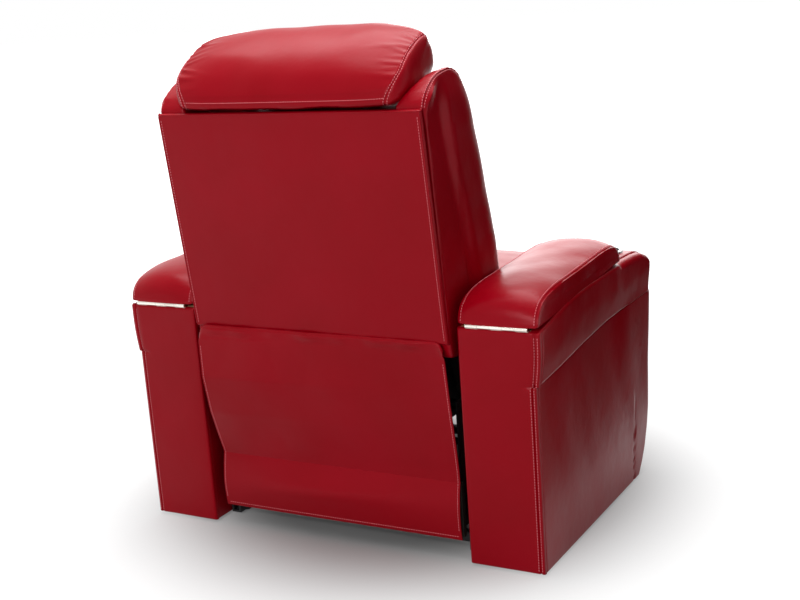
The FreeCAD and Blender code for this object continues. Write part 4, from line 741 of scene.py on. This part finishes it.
def wing(side, label):
    """The side view of the wing is carried from its inner to its outer seam. Its outer face is flat up
    to a crease and swells ahead of it; its top slopes down beside the headrest. q is 0 on the outline
    and 1 on a core line, on which the two faces close."""
    outline = outline_from(WING_OUTLINE, 230, (-50, 923))
    around = lengths(outline)
    core_z = np.clip(outline[:, 1], 500, 880)
    core = np.stack([np.interp(core_z, [500, 880], [105, 50]), core_z], axis=1)
    inner_x = back_half - WING_WIDE
    outer_x = back_half
    inside = (outer_x - 25, 60, 700)
    # From the inner core line to the inner seam, across to the outer seam, and to the outer core line.
    share = ladder(WING_WIDE, 4, (6, 6))[:, None]
    inner_close, outer_close = 0.05, 0.012
    q_mid = inner_close * (1 - rounded(share / 10)) + 0 * around
    q_mid = q_mid + outer_close * (1 - rounded((WING_WIDE - share) / 6))
    close = np.linspace(0, 1, 26)[1:, None] ** 1.3
    q_out = outer_close + close * 0.955 + 0 * around
    q_in = inner_close + close[::-1][::4] * 0.9 + 0 * around
    q = np.concatenate([q_in, q_mid, q_out])
    x = np.concatenate([inner_x + 0 * q_in, inner_x + share + 0 * q_mid, outer_x + 0 * q_out])
    flat = outline[None] * (1 - q[..., None]) + core[None] * q[..., None]
    ahead, z = flat[..., 0], flat[..., 1]
    # The outer face stands out by full: ahead of the crease, by a skin of 1.2 mm elsewhere, and by a
    # soft bump under the headrest's rear corner.
    past = ahead - by_height(CREASE, z)
    to_front = by_height(WING_FRONT, z) - ahead
    first_out = len(q_in) + len(q_mid)
    full = 10 * smooth(past, -6, 34) * rounded(to_front / 44)
    full = full * smooth(990 - z, 0, 70) * smooth(z, 440, 520) + 1.2
    full = full + 10 * np.exp(-(((ahead + 34) / 34) ** 2) - ((z - 958) / 34) ** 2)
    x[first_out:] += (full * smooth(q, outer_close, 0.08))[first_out:]
    # No point above 900 mm stands higher than the slope beside the headrest.
    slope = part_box("outside_back_panel")[1].z * 1000 - 5 + 1.38 * (x - (inner_x - 5.5))
    over = np.clip(z - slope, 0, None) * (z > 900)
    flat[..., 1] = z - over
    points = np.dstack([x, flat])
    grid = Grid(np.arange(len(x)), around, points, ring=True)
    seam_row = first_out - 1
    away = np.abs(outer_x - x)
    shoulder = (z > 915) & (np.arange(len(x))[:, None] <= seam_row)
    along = around[None] + 0 * x
    puckers = gathers(along, away, spacing=11, reach=26, depth=1.8, seed=4 if side > 0 else 9)
    shift = np.where(shoulder, puckers, 0) + ripple(points, scale=90, depth=0.45, seed=6)
    shift[seam_row] -= 2.2
    points = points + grid.normals(inside) * shift[..., None]
    mesh, grid = capsule(f"{label}_back_wing", np.arange(len(x)), around, mirrored(points, side))
    nodes = ["back_wings"] if side > 0 else []
    piece(f"{label}_back_wing", mesh, seat_leather, "back", nodes)
    half = Grid(grid.rows, around, points, ring=True)
    run = np.linspace(4, around[np.argmax(outline[:, 0] > 200)], 360)
    rows = []
    for step in (-3.4, 3.6):
        row = beside(half, seam_row, step)
        rows.append(seam_path(half, row + 0 * run, run, inside))
    stitches(f"{label}_wing_stitching", rows, "back", side)


for side, label in SIDES:
    wing(side, label)


def back_panel():
    """A thin padded rectangle that leans with the back, with a welt round its edge."""
    low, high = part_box("outside_back_panel")
    foot_z, head_z = low.z * 1000, high.z * 1000
    foot, head = -10.0, -62.0
    tall = head_z - foot_z
    lean = math.hypot(tall, foot - head)
    inside = (0, 60, 700)
    s = ladder(2 * back_half, 12, (6, 6))
    t = ladder(tall, 12, (5, 5))

    def plan(S, T):
        ahead = foot + (head - foot) * T / tall + 7.6
        return np.dstack([S - back_half, ahead, foot_z + T])

    def carve(S, T):
        return ripple(np.dstack([S, T, 0 * S]), scale=260, depth=0.5, seed=2)

    out = facing(0, -tall / lean, -(foot - head) / lean)
    rounds = (4, 4, 4, 4)
    mesh, grid = pad("back_panel_cover", plan, out, s, t, 8.5, rounds, swell=2.4, carve=carve)
    piece("back_panel_cover", mesh, red_leather, "back", ["outside_back_panel"])
    near = 2.2
    far_s, far_t = s[-1] - near, t[-1] - near
    corners = [(near, near), (near, far_t), (far_s, far_t), (far_s, near)]
    path = curve(np.repeat(corners, 2, axis=0), 400)
    welt = tube("back_panel_welt", seam_path(grid, path[:, 0], path[:, 1], inside)[0], 1.5)
    piece("back_panel_welt", welt, red_leather, "back")
    rise = np.linspace(8, t[-1] - 8, 300)
    rows = [seam_path(grid, place + 0 * rise, rise, inside) for place in (7.0, s[-1] - 7)]
    stitches("back_panel_stitching", rows, "back")


back_panel()


# The flap's heights, and its side edges as points (ahead, z)
FLAP_TOP = 470
FLAP_CREASE = 165
FLAP_HEM = 43
FLAP_LEFT = [(-17, FLAP_TOP), (-21, 466), (-27, 440), (-28, 355), (-12, 270), (14, 190), (22, FLAP_CREASE),
             (18, 100), (16, FLAP_HEM)]
FLAP_RIGHT = [(-13, FLAP_TOP), (-15, 466), (-9, 440), (0, 378), (15, 266), (24, 190), (25, FLAP_CREASE),
              (22, 100), (19, FLAP_HEM)]


def rear_flap():
    """A hanging leather flap: a straight line across from its left to its right edge, which bend apart,
    with a crease low down, a slack bulge under it and small ripples along the upper edge."""
    flap_half = skirt_half - 1.5
    drop = FLAP_TOP - FLAP_HEM
    t = ladder(drop, 5, (6, 0), (FLAP_TOP - FLAP_CREASE,)) / drop
    z = FLAP_TOP - t * drop
    s = np.linspace(-1, 1, 120)
    S, Z = np.meshgrid(s, z, indexing="ij")
    share = smooth(S, -1.25, 1.25)
    ahead = by_height(FLAP_RIGHT, z)[None] * (1 - share) + by_height(FLAP_LEFT, z)[None] * share
    # The upper edge is gathered in uneven waves over some 9 mm of height.
    waves = 1 + 0.9 * np.sin(S * 9 + 1.2) + 0.6 * np.sin(S * 23)
    ahead = ahead - 2.4 * np.exp(-(((Z - 462) / 9) ** 2)) * np.clip(waves, 0, 3)
    below = np.clip((Z - FLAP_HEM) / (FLAP_CREASE - FLAP_HEM), 0, 1)
    slack = 11 * np.sin(below * math.pi) ** 0.8
    sag = 7 * np.exp(-((S - 0.1) ** 2) * 3) * np.exp(-(((Z - 110 + 14 * S) / 26) ** 2))
    dents = ripple(np.dstack([S * 290, Z, 0 * Z]), scale=150, depth=1.2, seed=12)
    ahead = ahead - slack * (1 - 0.4 * S**2) - sag
    ahead = ahead + np.minimum(dents, 0.8) * smooth(Z, 170, 220)
    # The two upper corners are rounded off by 18 mm.
    corner_drop = 18 * (1 - rounded((1 - np.abs(S)) / 0.07)) * smooth(Z, 420, 468)
    outer = np.dstack([S * flap_half, ahead, Z - corner_drop])
    inner = outer + np.array([0, 2.6, 0])
    n, m = outer.shape[:2]
    rim = [np.arange(m), np.arange(1, n) * m + m - 1, np.arange(m - 2, -1, -1) + (n - 1) * m]
    rim = np.concatenate([*rim, np.arange(n - 2, 0, -1) * m])
    after = np.roll(rim, -1)
    wall = np.stack([rim, after, after + n * m, rim + n * m], axis=1)
    faces = np.concatenate([grid_faces(n, m), grid_faces(n, m, start=n * m), wall])
    mesh = to_mesh("rear_flap", np.concatenate([outer.reshape(-1, 3), inner.reshape(-1, 3)]), faces)
    flap = piece("rear_flap", mesh, red_leather, None, ["rear_skirt"])
    columns = np.arange(len(z))
    grid = Grid(s, columns, outer)

    def column(height):
        return np.interp(height, z[::-1], columns[::-1])

    inside = (0, 300, 300)
    fall = column(np.linspace(FLAP_TOP - 45, FLAP_HEM + 17, 200))
    rows = [seam_path(grid, place + 0 * fall, fall, inside) for place in (-0.985, 0.985)]
    hem = np.linspace(-0.98, 0.98, 300)
    rows.append(seam_path(grid, hem, column(FLAP_HEM + 8) + 0 * hem, inside))
    flap_thread = stitches("rear_flap_stitching", rows, None)
    for hung in (flap, flap_thread):
        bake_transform(hung)


rear_flap()


# Arms


def pleat(ahead):
    """Height of the pleat between an arm's lower and upper side covers."""
    return np.interp(ahead, [0, 119, 239, 369, 508, 645], [390, 399, 412, 422, 426, 426])


def arm_out(ahead, z):
    """The outer face of an arm: flat below the pleat, and swollen above it. Towards the front the step
    at the pleat fades away."""
    fade = smooth(ahead, 400, 520)
    line = pleat(ahead)
    low = arm_low_out + 5 * fade * smooth(z, line - 190, line)
    high = arm_low_out + 5 + 7 * np.sin(np.clip((z - line) / 75, 0, 1) * math.pi / 2)
    high_front = arm_low_out + 5 + 5 * smooth(z, line, line + 60)
    high = high * (1 - fade) + high_front * fade
    return np.where(z < line, low, high)


def arm_top(ahead):
    """Height of the arm's body under the lid."""
    return np.interp(ahead, [0, 10, 150, 220, 283, 458], [499, 499, 522, 528, 530, 530])


def rear_cover(label):
    """A padded strip over the arm's rear face, with the side seam near its outer edge. Above the side
    covers' pleat it widens with the upper one, and the seam has a notch there."""
    foot_z, tall = 5, 494
    seam, notch = 153, 386
    s = ladder(ARM_LOW_WIDE, 9, (5, 5), (seam,))
    t = ladder(tall, 9, (4, 6), (notch,))

    def plan(S, T):
        z = foot_z + T
        wide = np.where(z < foot_z + notch, ARM_LOW_WIDE, arm_out(0 * z + 5, z) - arm_in)
        return np.dstack([arm_in + S / ARM_LOW_WIDE * wide, 10 + 0 * S, z])

    def carve(S, T):
        drift = 2.0 * smooth(T, notch - 2, notch + 9)
        furrow = groove(S - seam + drift, width=1.7, depth=3.4)
        nick = groove(S - 150, width=7, depth=3.5) * np.exp(-(((T - notch) / 4) ** 2))
        dent = ripple(np.dstack([S, T, 0 * S]), scale=140, depth=0.5, seed=21)
        return furrow + nick + dent * smooth(np.minimum(S, 150 - S), 0, 30)

    name = f"{label}_arm_rear_cover"
    rounds = (5, 4, 4, 6)
    mesh, grid = pad(name, plan, facing(0, -1, 0), s, t, 9.6, rounds, swell=2.0, carve=carve)
    run = np.linspace(6, tall - 6, 200)
    inside = (arm_middle, 200, 250)
    rows = [seam_path(grid, place + 0 * run, run, inside) for place in (seam - 3.5, seam + 4)]
    return mesh, rows


# The arm's front seen from the side. Each entry has the place ahead and the height of a point on the
# cover's outer line, and the height of the point on its inner line that lies behind it. CORNER numbers
# the point where the deck ends and the front face begins.
FRONT_LINE = [
    (459.5, 532.5, 511), (500, 532.5, 511), (560, 530.5, 511), (600, 527, 510), (634, 516, 506),
    (656, 498, 488), (666, 470, 462), (667.5, 430, 428), (664, 330, 330), (657, 210, 212), (651, 150, 156),
    (640, 108, 114), (620, 62, 72), (596, 30, 37), (573, 6, 16),
]
CORNER = 6


def front_edge(z):
    """How far ahead the arm's front face stands at a height below its rounded corner."""
    return by_height([row[:2] for row in FRONT_LINE[CORNER:]], z)


def deck_height(ahead):
    """Height of the arm's deck and of its rounded front corner."""
    rows = FRONT_LINE[:CORNER + 1]
    return np.interp(ahead, [r[0] for r in rows], [r[1] for r in rows])


def side_covers(label):
    """The lower and upper side covers of an arm. They meet in the pleat, and their outer face follows
    arm_out. Their front and top edges turn over towards the front cover."""
    base = arm_low_out - 10
    low_long, high_long, rear = 650, 648, 10
    low_tall, high_tall = 420, 110
    sideways = facing(1, 0, 0)
    s_low = ladder(low_long, 9, (4, 17), (530,))
    t_low = ladder(low_tall, 8, (3, 4))
    s_high = ladder(high_long, 8, (5, 17), (444,))
    t_high = ladder(high_tall, 5, (9, 16))

    def low_plan(S, T):
        z = 5.5 + T / low_tall * (pleat(rear + S) - 6.5)
        return np.dstack([base + 0 * S, rear + S / low_long * (front_edge(z) - 14), z])

    def high_plan(S, T):
        ahead = rear + S
        top = np.where(ahead > 452, deck_height(ahead) - 3, arm_top(ahead))
        line = pleat(ahead) + 0.6
        return np.dstack([base + 0 * S, ahead, line + T / high_tall * (top - line)])

    def thick_of(plan):
        def thick(S, T):
            p = plan(S, T)
            return arm_out(p[..., 1], p[..., 2]) - base
        return thick

    def low_carve(S, T):
        p = low_plan(S, T)
        fold_ahead = 543 - 0.08 * (213 - p[..., 2])
        fold = groove(p[..., 1] - fold_ahead, width=2.6, depth=3.2) * smooth(-p[..., 2], -225, -150)
        dent = ripple(p, scale=160, depth=0.5, seed=31) * smooth(np.minimum(T, low_tall - T), 0, 40)
        return fold + dent

    def high_carve(S, T):
        return ripple(high_plan(S, T), scale=130, depth=0.5, seed=37) * smooth(T, 10, 50)

    low_fade = smooth(rear + s_low[:, None], 430, 530)
    high_fade = smooth(rear + s_high[:, None], 430, 530)
    deck = smooth(rear + s_high[:, None], 440, 462)
    low_rounds = (4, 17, 3, 3 * (1 - low_fade) + 0.2)
    high_rounds = (5, 17, 5 * (1 - high_fade) + 0.2, 6 + 10 * deck)
    low = pad(f"{label}_arm_lower_cover", low_plan, sideways, s_low, t_low, thick_of(low_plan),
              low_rounds, swell=1.0, carve=low_carve)[0]
    high = pad(f"{label}_arm_upper_cover", high_plan, sideways, s_high, t_high, thick_of(high_plan),
               high_rounds, carve=high_carve)[0]
    return low, high


def inner_cover(label):
    """A thin padded cover on the arm's inner side. Low down its front edge slopes back, as the arm's
    front does."""
    long, tall = 634, 480
    rear, foot_z = 10.5, 5.5
    s = ladder(long, 12, (4, 4))
    t = ladder(tall, 12, (3, 4))

    def plan(S, T):
        top = np.where(rear + S > 456, 510, arm_top(rear + S) - 0.5)
        z = foot_z + T / tall * (top - foot_z)
        front = 644.5 - np.clip(155 - z, 0, None) * 0.67
        return np.dstack([arm_in + 6 + 0 * S, rear + S / long * (front - rear), z])

    name = f"{label}_arm_inner_cover"
    rounds = (2.5, 2.5, 2.5, 2.5)
    return pad(name, plan, facing(-1, 0, 0), s, t, 5.6, rounds, swell=0.6)[0]


def front_cover(label):
    """The cover of the arm's deck and front: its side view is carried across the arm, from an inner line
    on the boards to an outer line."""
    inner_ahead = [min(a, 646) for a, _, _ in FRONT_LINE[:11]] + [617, 589, 566, 552]
    # Each point has the outer line's place (a, z) and, behind it, the inner line's place (b, c).
    both = [(a, z, b, c) for (a, z, c), b in zip(FRONT_LINE, inner_ahead)]
    line = curve(both, 140)
    far = lengths(line[:, :2])
    s = ladder(far[-1], 9, (1, 4))
    t = ladder(154, 8, (8, 8))
    a, z, b, c = (np.interp(s, far, line[:, k])[:, None] for k in range(4))
    deep = np.hypot(a - b, z - c)

    def plan(S, T):
        return np.dstack([arm_in + T, b + 0 * S, c + 0 * S])

    def out(S, T):
        return np.dstack([0 * S, (a - b) / deep + 0 * S, (z - c) / deep + 0 * S])

    def carve(S, T):
        return ripple(plan(S, T), scale=120, depth=0.4, seed=41)

    def thick(S, T):
        return deep + 0 * S

    name = f"{label}_arm_front_cover"
    return pad(name, plan, out, s, t, thick, (0, 4, 8, 6), swell=1.5, carve=carve)[0]


def cut_out(mesh, cutters):
    """The mesh with the closed cutter meshes taken out of it."""
    work = stand("work", mesh)
    tools = [stand("cutter", cutter) for cutter in cutters]
    for tool in tools:
        change = work.modifiers.new("cut", "BOOLEAN")
        change.operation = "DIFFERENCE"
        change.solver = "EXACT"
        change.object = tool
    made = applied(work)
    name = mesh.name
    for thing in (work, *tools):
        bpy.data.objects.remove(thing)
    for used in (mesh, *cutters):
        bpy.data.meshes.remove(used)
    made.name = name
    made.shade_smooth()
    made.set_sharp_from_angle(angle=math.radians(48))
    return made


def post(name, x, ahead, z0, z1, radius):
    """A closed upright round bar."""
    path = np.array([[x, ahead, z0], [x, ahead, (z0 + z1) / 2], [x, ahead, z1]], float)
    return tube(name, path, radius, 64)


def brick(name, x, ahead, z):
    """A closed box between two places each way."""
    ring = ((x[0], ahead[0]), (x[1], ahead[0]), (x[1], ahead[1]), (x[0], ahead[1]))
    corners = np.array([[a, b, c] for c in z for a, b in ring], float)
    faces = np.array([[0, 1, 2, 3], [4, 5, 6, 7], [0, 1, 5, 4], [1, 2, 6, 5], [2, 3, 7, 6], [3, 0, 4, 7]])
    return to_mesh(name, corners, faces)


LID_LINE = [
    (1.5, 507), (1.5, 512), (7, 528), (20, 543), (40, 554), (75, 562), (120, 567), (190, 570), (270, 574),
    (350, 578.5), (402, 578), (432, 571), (449, 558), (455.5, 545), (455.5, 536),
]


def lid(side, label):
    """An arm lid. The seam line of its side is a closed outline. Between the two seams the top is a
    crowned panel; outside them each side panel closes on a core line."""
    upper = curve(LID_LINE, 130)
    under = np.stack([np.linspace(455, 1.5, 60), np.linspace(535.5, 505.8, 60)], axis=1)
    outline = np.concatenate([upper, under[1:-1]])
    around = lengths(outline)
    core_ahead = np.clip(outline[:, 0], 34, 420)
    core = np.stack([core_ahead, 525 + core_ahead * 0.068], axis=1)
    is_top = np.arange(len(outline)) < len(upper)
    # The crown is 4.5 mm high at the lid's front and rear, where it is low, and 16 mm along its top.
    level = smooth(outline[:, 1], 512, 560) * is_top
    x0, x1 = arm_in + 5, arm_high_out - 4
    wide = x1 - x0
    s = ladder(wide, 7, (5, 5))
    v = 2 * s / wide - 1
    crown = (4.5 * is_top + 11.5 * level) * (1 - np.abs(v)[:, None] ** 2.3)
    normal = np.gradient(outline, axis=0)
    normal /= np.maximum(np.linalg.norm(normal, axis=1, keepdims=True), 1e-9)
    normal = np.stack([-normal[:, 1], normal[:, 0]], axis=1)
    top = outline[None] + normal[None] * crown[..., None]
    # q is 0 on the seam and 1 on the core line, and the side panel bulges past the seam.
    q = np.linspace(0, 1, 16)[1:] * 0.96
    swell = 3.4 * rounded(q * 2.2)
    ends = outline[None] * (1 - q[:, None, None]) + core[None] * q[:, None, None]
    x = np.concatenate([(x0 - swell)[::-1], x0 + s, x1 + swell])[:, None] + 0 * around
    flat = np.concatenate([ends[::-1], top, ends])
    points = np.dstack([x, flat])
    grid = Grid(np.arange(len(x)), around, points, ring=True)
    inside = (arm_middle, 220, 545)
    rows = np.arange(len(x))
    first, last = len(q), len(q) + len(s) - 1
    shift = ripple(points, scale=110, depth=0.6, seed=51) * (points[..., 2] > 545)
    away = np.minimum(np.abs(x - x0), np.abs(x - x1))
    between = (rows[:, None] >= first) & (rows[:, None] <= last)
    shift = shift + groove(away, width=1.6, depth=1.3) * is_top * between
    points = points + grid.normals(inside) * shift[..., None]
    mesh = capsule(f"{label}_lid_cover", rows, around, mirrored(points, side))[0]
    body, node = f"{label}_lid", f"lid_{label}_cushion"
    piece(f"{label}_lid_cover", mesh, red_leather, body, [node])
    half = Grid(rows, around, points, ring=True)
    run = np.linspace(4, around[len(upper) - 1] - 4, 300)
    seams = [beside(half, first, 5), beside(half, last, -5)]
    sewn = [seam_path(half, row + 0 * run, run, inside) for row in seams]
    stitches(f"{label}_lid_stitching", sewn, body, side)


def placed(mesh, side):
    """The mesh as it is on the sitter's left, or mirrored to the right."""
    if side < 0:
        mesh.transform(Matrix.Scale(-1, 4, (1, 0, 0)))
        mesh.flip_normals()
    return mesh


CUP_RADIUS = 45.0
CUP_AHEAD = 556.0
CUT_GAP = 0.5


def hole_cutters(side):
    """What is cut from an arm's deck: a round hole for the cup holder and, on the right, a square one
    for the switch plate."""
    cutters = [post("cup_cutter", side * arm_middle, CUP_AHEAD, 480, 560, CUP_RADIUS)]
    if side < 0:
        low, high = (corner * 1000 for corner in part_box("control_panel"))
        wide = (low.x - CUT_GAP, high.x + CUT_GAP)
        ahead = (rear_face - high.y - CUT_GAP, rear_face - low.y + CUT_GAP)
        cutters.append(brick("plate_cutter", wide, ahead, (low.z - 30, 570)))
    return cutters


def arm(side, label):
    """All covers of one arm, with the holes in its deck, and its lid."""
    rear, rows = rear_cover(label)
    low, high = side_covers(label)
    cutters = hole_cutters(side)
    covers = (
        (placed(rear, side), "arm_rear_pads"),
        (placed(low, side), "arm_lower_side_pads"),
        (placed(high, side), "arm_upper_side_pads"),
        (placed(inner_cover(label), side), "arm_inner_pads"),
        (cut_out(placed(front_cover(label), side), cutters), "arm_front_pads"),
    )
    for mesh, node in covers:
        piece(mesh.name, mesh, red_leather, "base", [node] if side > 0 else [])
    stitches(f"{label}_arm_stitching", rows, "base", side)
    lid(side, label)


for side, label in SIDES:
    arm(side, label)


# Front cushions: remeshed from the frame's plain solids, then blown up as cloth

# Lengths are in metres.
VOXEL = 0.006
DRAWN_IN = 0.006
FURTHEST = 0.014
PRESSURE = 4.0
CLOTH_FRAMES = 20


def read_points(mesh):
    """A mesh's points in metres, as rows of x, y and z."""
    points = np.empty(len(mesh.vertices) * 3, np.float32)
    mesh.vertices.foreach_get("co", points)
    return points.reshape(-1, 3)


def write_points(mesh, points):
    """Moves a mesh's points to these places."""
    mesh.vertices.foreach_set("co", points.astype(np.float32).ravel())
    mesh.update()


def evened(node):
    """A copy of a plain cushion, remeshed evenly, smoothed and drawn in a little on all sides."""
    mesh = frame["nodes"][node].data.copy()
    bm = bmesh.new()
    bm.from_mesh(mesh)
    bmesh.ops.remove_doubles(bm, verts=bm.verts, dist=1e-5)
    bm.to_mesh(mesh)
    bm.free()
    work = stand(f"work_{node}", mesh)
    remesh = work.modifiers.new("remesh", "REMESH")
    remesh.mode = "VOXEL"
    remesh.voxel_size = VOXEL
    remesh.adaptivity = 0.0
    ease = work.modifiers.new("smooth", "SMOOTH")
    ease.factor = 0.5
    ease.iterations = 6
    even = applied(work)
    bpy.data.objects.remove(work)
    even.name = node
    start = read_points(even)
    middle = (start.max(axis=0) + start.min(axis=0)) / 2
    size = start.max(axis=0) - start.min(axis=0)
    write_points(even, middle + (start - middle) * (1 - 2 * DRAWN_IN / size))
    return even


def blow_up(mesh):
    """Blows a closed mesh up as cloth. The move of each point is cut off at FURTHEST."""
    made = stand(f"work_{mesh.name}", mesh)
    start = read_points(mesh)
    cloth = made.modifiers.new("cloth", "CLOTH")
    cloth.settings.use_pressure = True
    cloth.settings.uniform_pressure_force = PRESSURE
    cloth.settings.effector_weights.gravity = 0.0
    cloth.settings.quality = 5
    cloth.settings.mass = 0.3
    cloth.settings.tension_stiffness = 15
    cloth.settings.compression_stiffness = 15
    cloth.settings.bending_stiffness = 0.5
    cloth.point_cache.frame_start = 1
    cloth.point_cache.frame_end = CLOTH_FRAMES
    for number in range(1, CLOTH_FRAMES + 1):
        bpy.context.scene.frame_set(number)
    blown = made.evaluated_get(bpy.context.evaluated_depsgraph_get()).data
    move = read_points(blown) - start
    length = np.linalg.norm(move, axis=1, keepdims=True)
    move *= np.minimum(1, FURTHEST / np.maximum(length, 1e-9))
    bpy.data.objects.remove(made)
    write_points(mesh, start + move)
    bpy.context.scene.frame_set(1)


CUSHIONS = {"seat_cushion": "seat", "lumbar_cushion": "back", "upper_back_cushion": "back",
            "footrest_pad": "footrest"}
for node, body in CUSHIONS.items():
    cushion = evened(node)
    blow_up(cushion)
    cushion.shade_smooth()
    piece(f"{node}_cover", cushion, seat_leather, body, [node])


# Studio

scene = bpy.context.scene
scene.view_settings.view_transform = "Standard"

camera_data = bpy.data.cameras.new("camera")
camera_data.lens = 59.16
camera_data.clip_start = 0.05
camera_data.clip_end = 60
camera = stand("camera", camera_data)
scene.camera = camera
# The view was fitted to the seat's corners in the photograph: its angles in radians, its place in metres.
yaw = 0.5217006
pitch = 0.2383896
roll = -0.0724186
camera_place = Vector((-1.4481656, 2.5183675, 1.1558962))
ahead_way = Vector((math.sin(yaw) * math.cos(pitch), -math.cos(yaw) * math.cos(pitch), -math.sin(pitch)))
right_way = ahead_way.cross(Vector((0, 0, 1))).normalized()
up_way = right_way.cross(ahead_way)
turned_right = right_way * math.cos(roll) + up_way * math.sin(roll)
turned_up = up_way * math.cos(roll) - right_way * math.sin(roll)
pose = Matrix((turned_right, turned_up, -ahead_way)).transposed().to_4x4()
pose.translation = camera_place
camera.matrix_world = pose


def softbox(name, place, target, size, power):
    """A soft light of this size in metres and power in watts that faces a point."""
    data = bpy.data.lights.new(name, "AREA")
    data.shape = "RECTANGLE"
    data.size, data.size_y = size
    data.energy = power
    made = stand(name, data)
    made.location = place
    made.rotation_mode = "QUATERNION"
    made.rotation_quaternion = (Vector(target) - Vector(place)).to_track_quat("-Z", "Y")


softbox("top_softbox", (0.2, -0.2, 3.0), (0, 0, 0.5), (2.4, 2.0), 78)
softbox("rear_softbox", (-0.3, 4.2, 2.0), (0, 0.2, 0.5), (1.8, 1.4), 66)
softbox("front_softbox", (0.9, -3.6, 1.6), (0, 0, 0.5), (2.0, 2.0), 26)

world = bpy.data.worlds.new("studio")
scene.world = world
world.use_nodes = True
tree = world.node_tree
tree.nodes.clear()


def seen_directly(tree):
    """1 for what the camera sees, also in a mirror or through glass, and 0 for what lights the object."""
    path = add(tree, "ShaderNodeLightPath")
    first = {0: path.outputs["Is Camera Ray"], 1: path.outputs["Is Glossy Ray"]}
    both = add(tree, "ShaderNodeMath", first, operation="MAXIMUM")
    last = {0: both.outputs[0], 1: path.outputs["Is Transmission Ray"]}
    return add(tree, "ShaderNodeMath", last, operation="MAXIMUM").outputs[0]


# The room is white to the eye, but its light on the seat is dim, so that the softboxes shape it.
glow = add(tree, "ShaderNodeMapRange", {"Value": seen_directly(tree), "To Min": 0.24, "To Max": 1.0})
back = add(tree, "ShaderNodeBackground", {"Color": (1, 1, 1, 1), "Strength": glow.outputs[0]})
add(tree, "ShaderNodeOutputWorld", {"Surface": back.outputs[0]})


def flat_sheet(name, corners, material):
    """A flat piece of the studio with four corners."""
    mesh = bpy.data.meshes.new(name)
    mesh.from_pydata(corners, [], [(0, 1, 2, 3)])
    mesh.materials.append(material)
    return stand(name, mesh)


def paper_floor():
    """White paper that catches the shadow near the seat. What the camera sees of it glows by a share
    that rises with the distance from the seat, so that it turns evenly into the white background."""
    made, tree, spot = blank("white_paper_sweep")
    fibres = add(tree, "ShaderNodeTexNoise", {"Scale": 40.0})
    stops = ((0.0, "#AEAEAE"), (1.0, "#B2B2B2"))
    tone = add(tree, "ShaderNodeValToRGB", {"Fac": fibres.outputs["Fac"]}, stops)
    paper = add(
        tree,
        "ShaderNodeBsdfPrincipled",
        {"Base Color": tone.outputs["Color"], "Roughness": 0.9, "Specular IOR Level": 0.0},
    )
    white = add(tree, "ShaderNodeEmission", {"Color": (1, 1, 1, 1), "Strength": 1.75})
    far = add(tree, "ShaderNodeVectorMath", {0: spot}, operation="LENGTH").outputs["Value"]
    rises = []
    for start, end in ((0.3, 0.8), (1.0, 2.6)):
        reach = {"Value": far, "From Min": start, "From Max": end, "To Max": 0.5}
        rises.append(add(tree, "ShaderNodeMapRange", reach, interpolation_type="SMOOTHSTEP").outputs[0])
    share = add(tree, "ShaderNodeMath", {0: rises[0], 1: rises[1]}, operation="ADD").outputs[0]
    part = add(tree, "ShaderNodeMath", {0: seen_directly(tree), 1: share}, operation="MULTIPLY")
    mixed = add(
        tree,
        "ShaderNodeMixShader",
        {0: part.outputs[0], 1: paper.outputs[0], 2: white.outputs[0]},
    )
    add(tree, "ShaderNodeOutputMaterial", {"Surface": mixed.outputs[0]})
    return flat_sheet("floor", [(-30, -30, 0), (30, -30, 0), (30, 30, 0), (-30, 30, 0)], made)


def dark_card():
    """A matt black card beside the right arm keeps that side deep, as in the photograph. It isn't seen
    itself and throws no shadow."""
    made, tree = blank("black_card")[:2]
    shader = add(
        tree,
        "ShaderNodeBsdfPrincipled",
        {"Base Color": linear("#030303"), "Roughness": 1.0, "Specular IOR Level": 0.0},
    )
    add(tree, "ShaderNodeOutputMaterial", {"Surface": shader.outputs[0]})
    x, front, rear, top = -0.63, -2.6, 0.12, 1.3
    card = flat_sheet("black_card", [(x, front, 0), (x, rear, 0), (x, rear, top), (x, front, top)], made)
    card.visible_camera = False
    card.visible_diffuse = False
    card.visible_shadow = False
    return card


paper_floor()
dark_card()
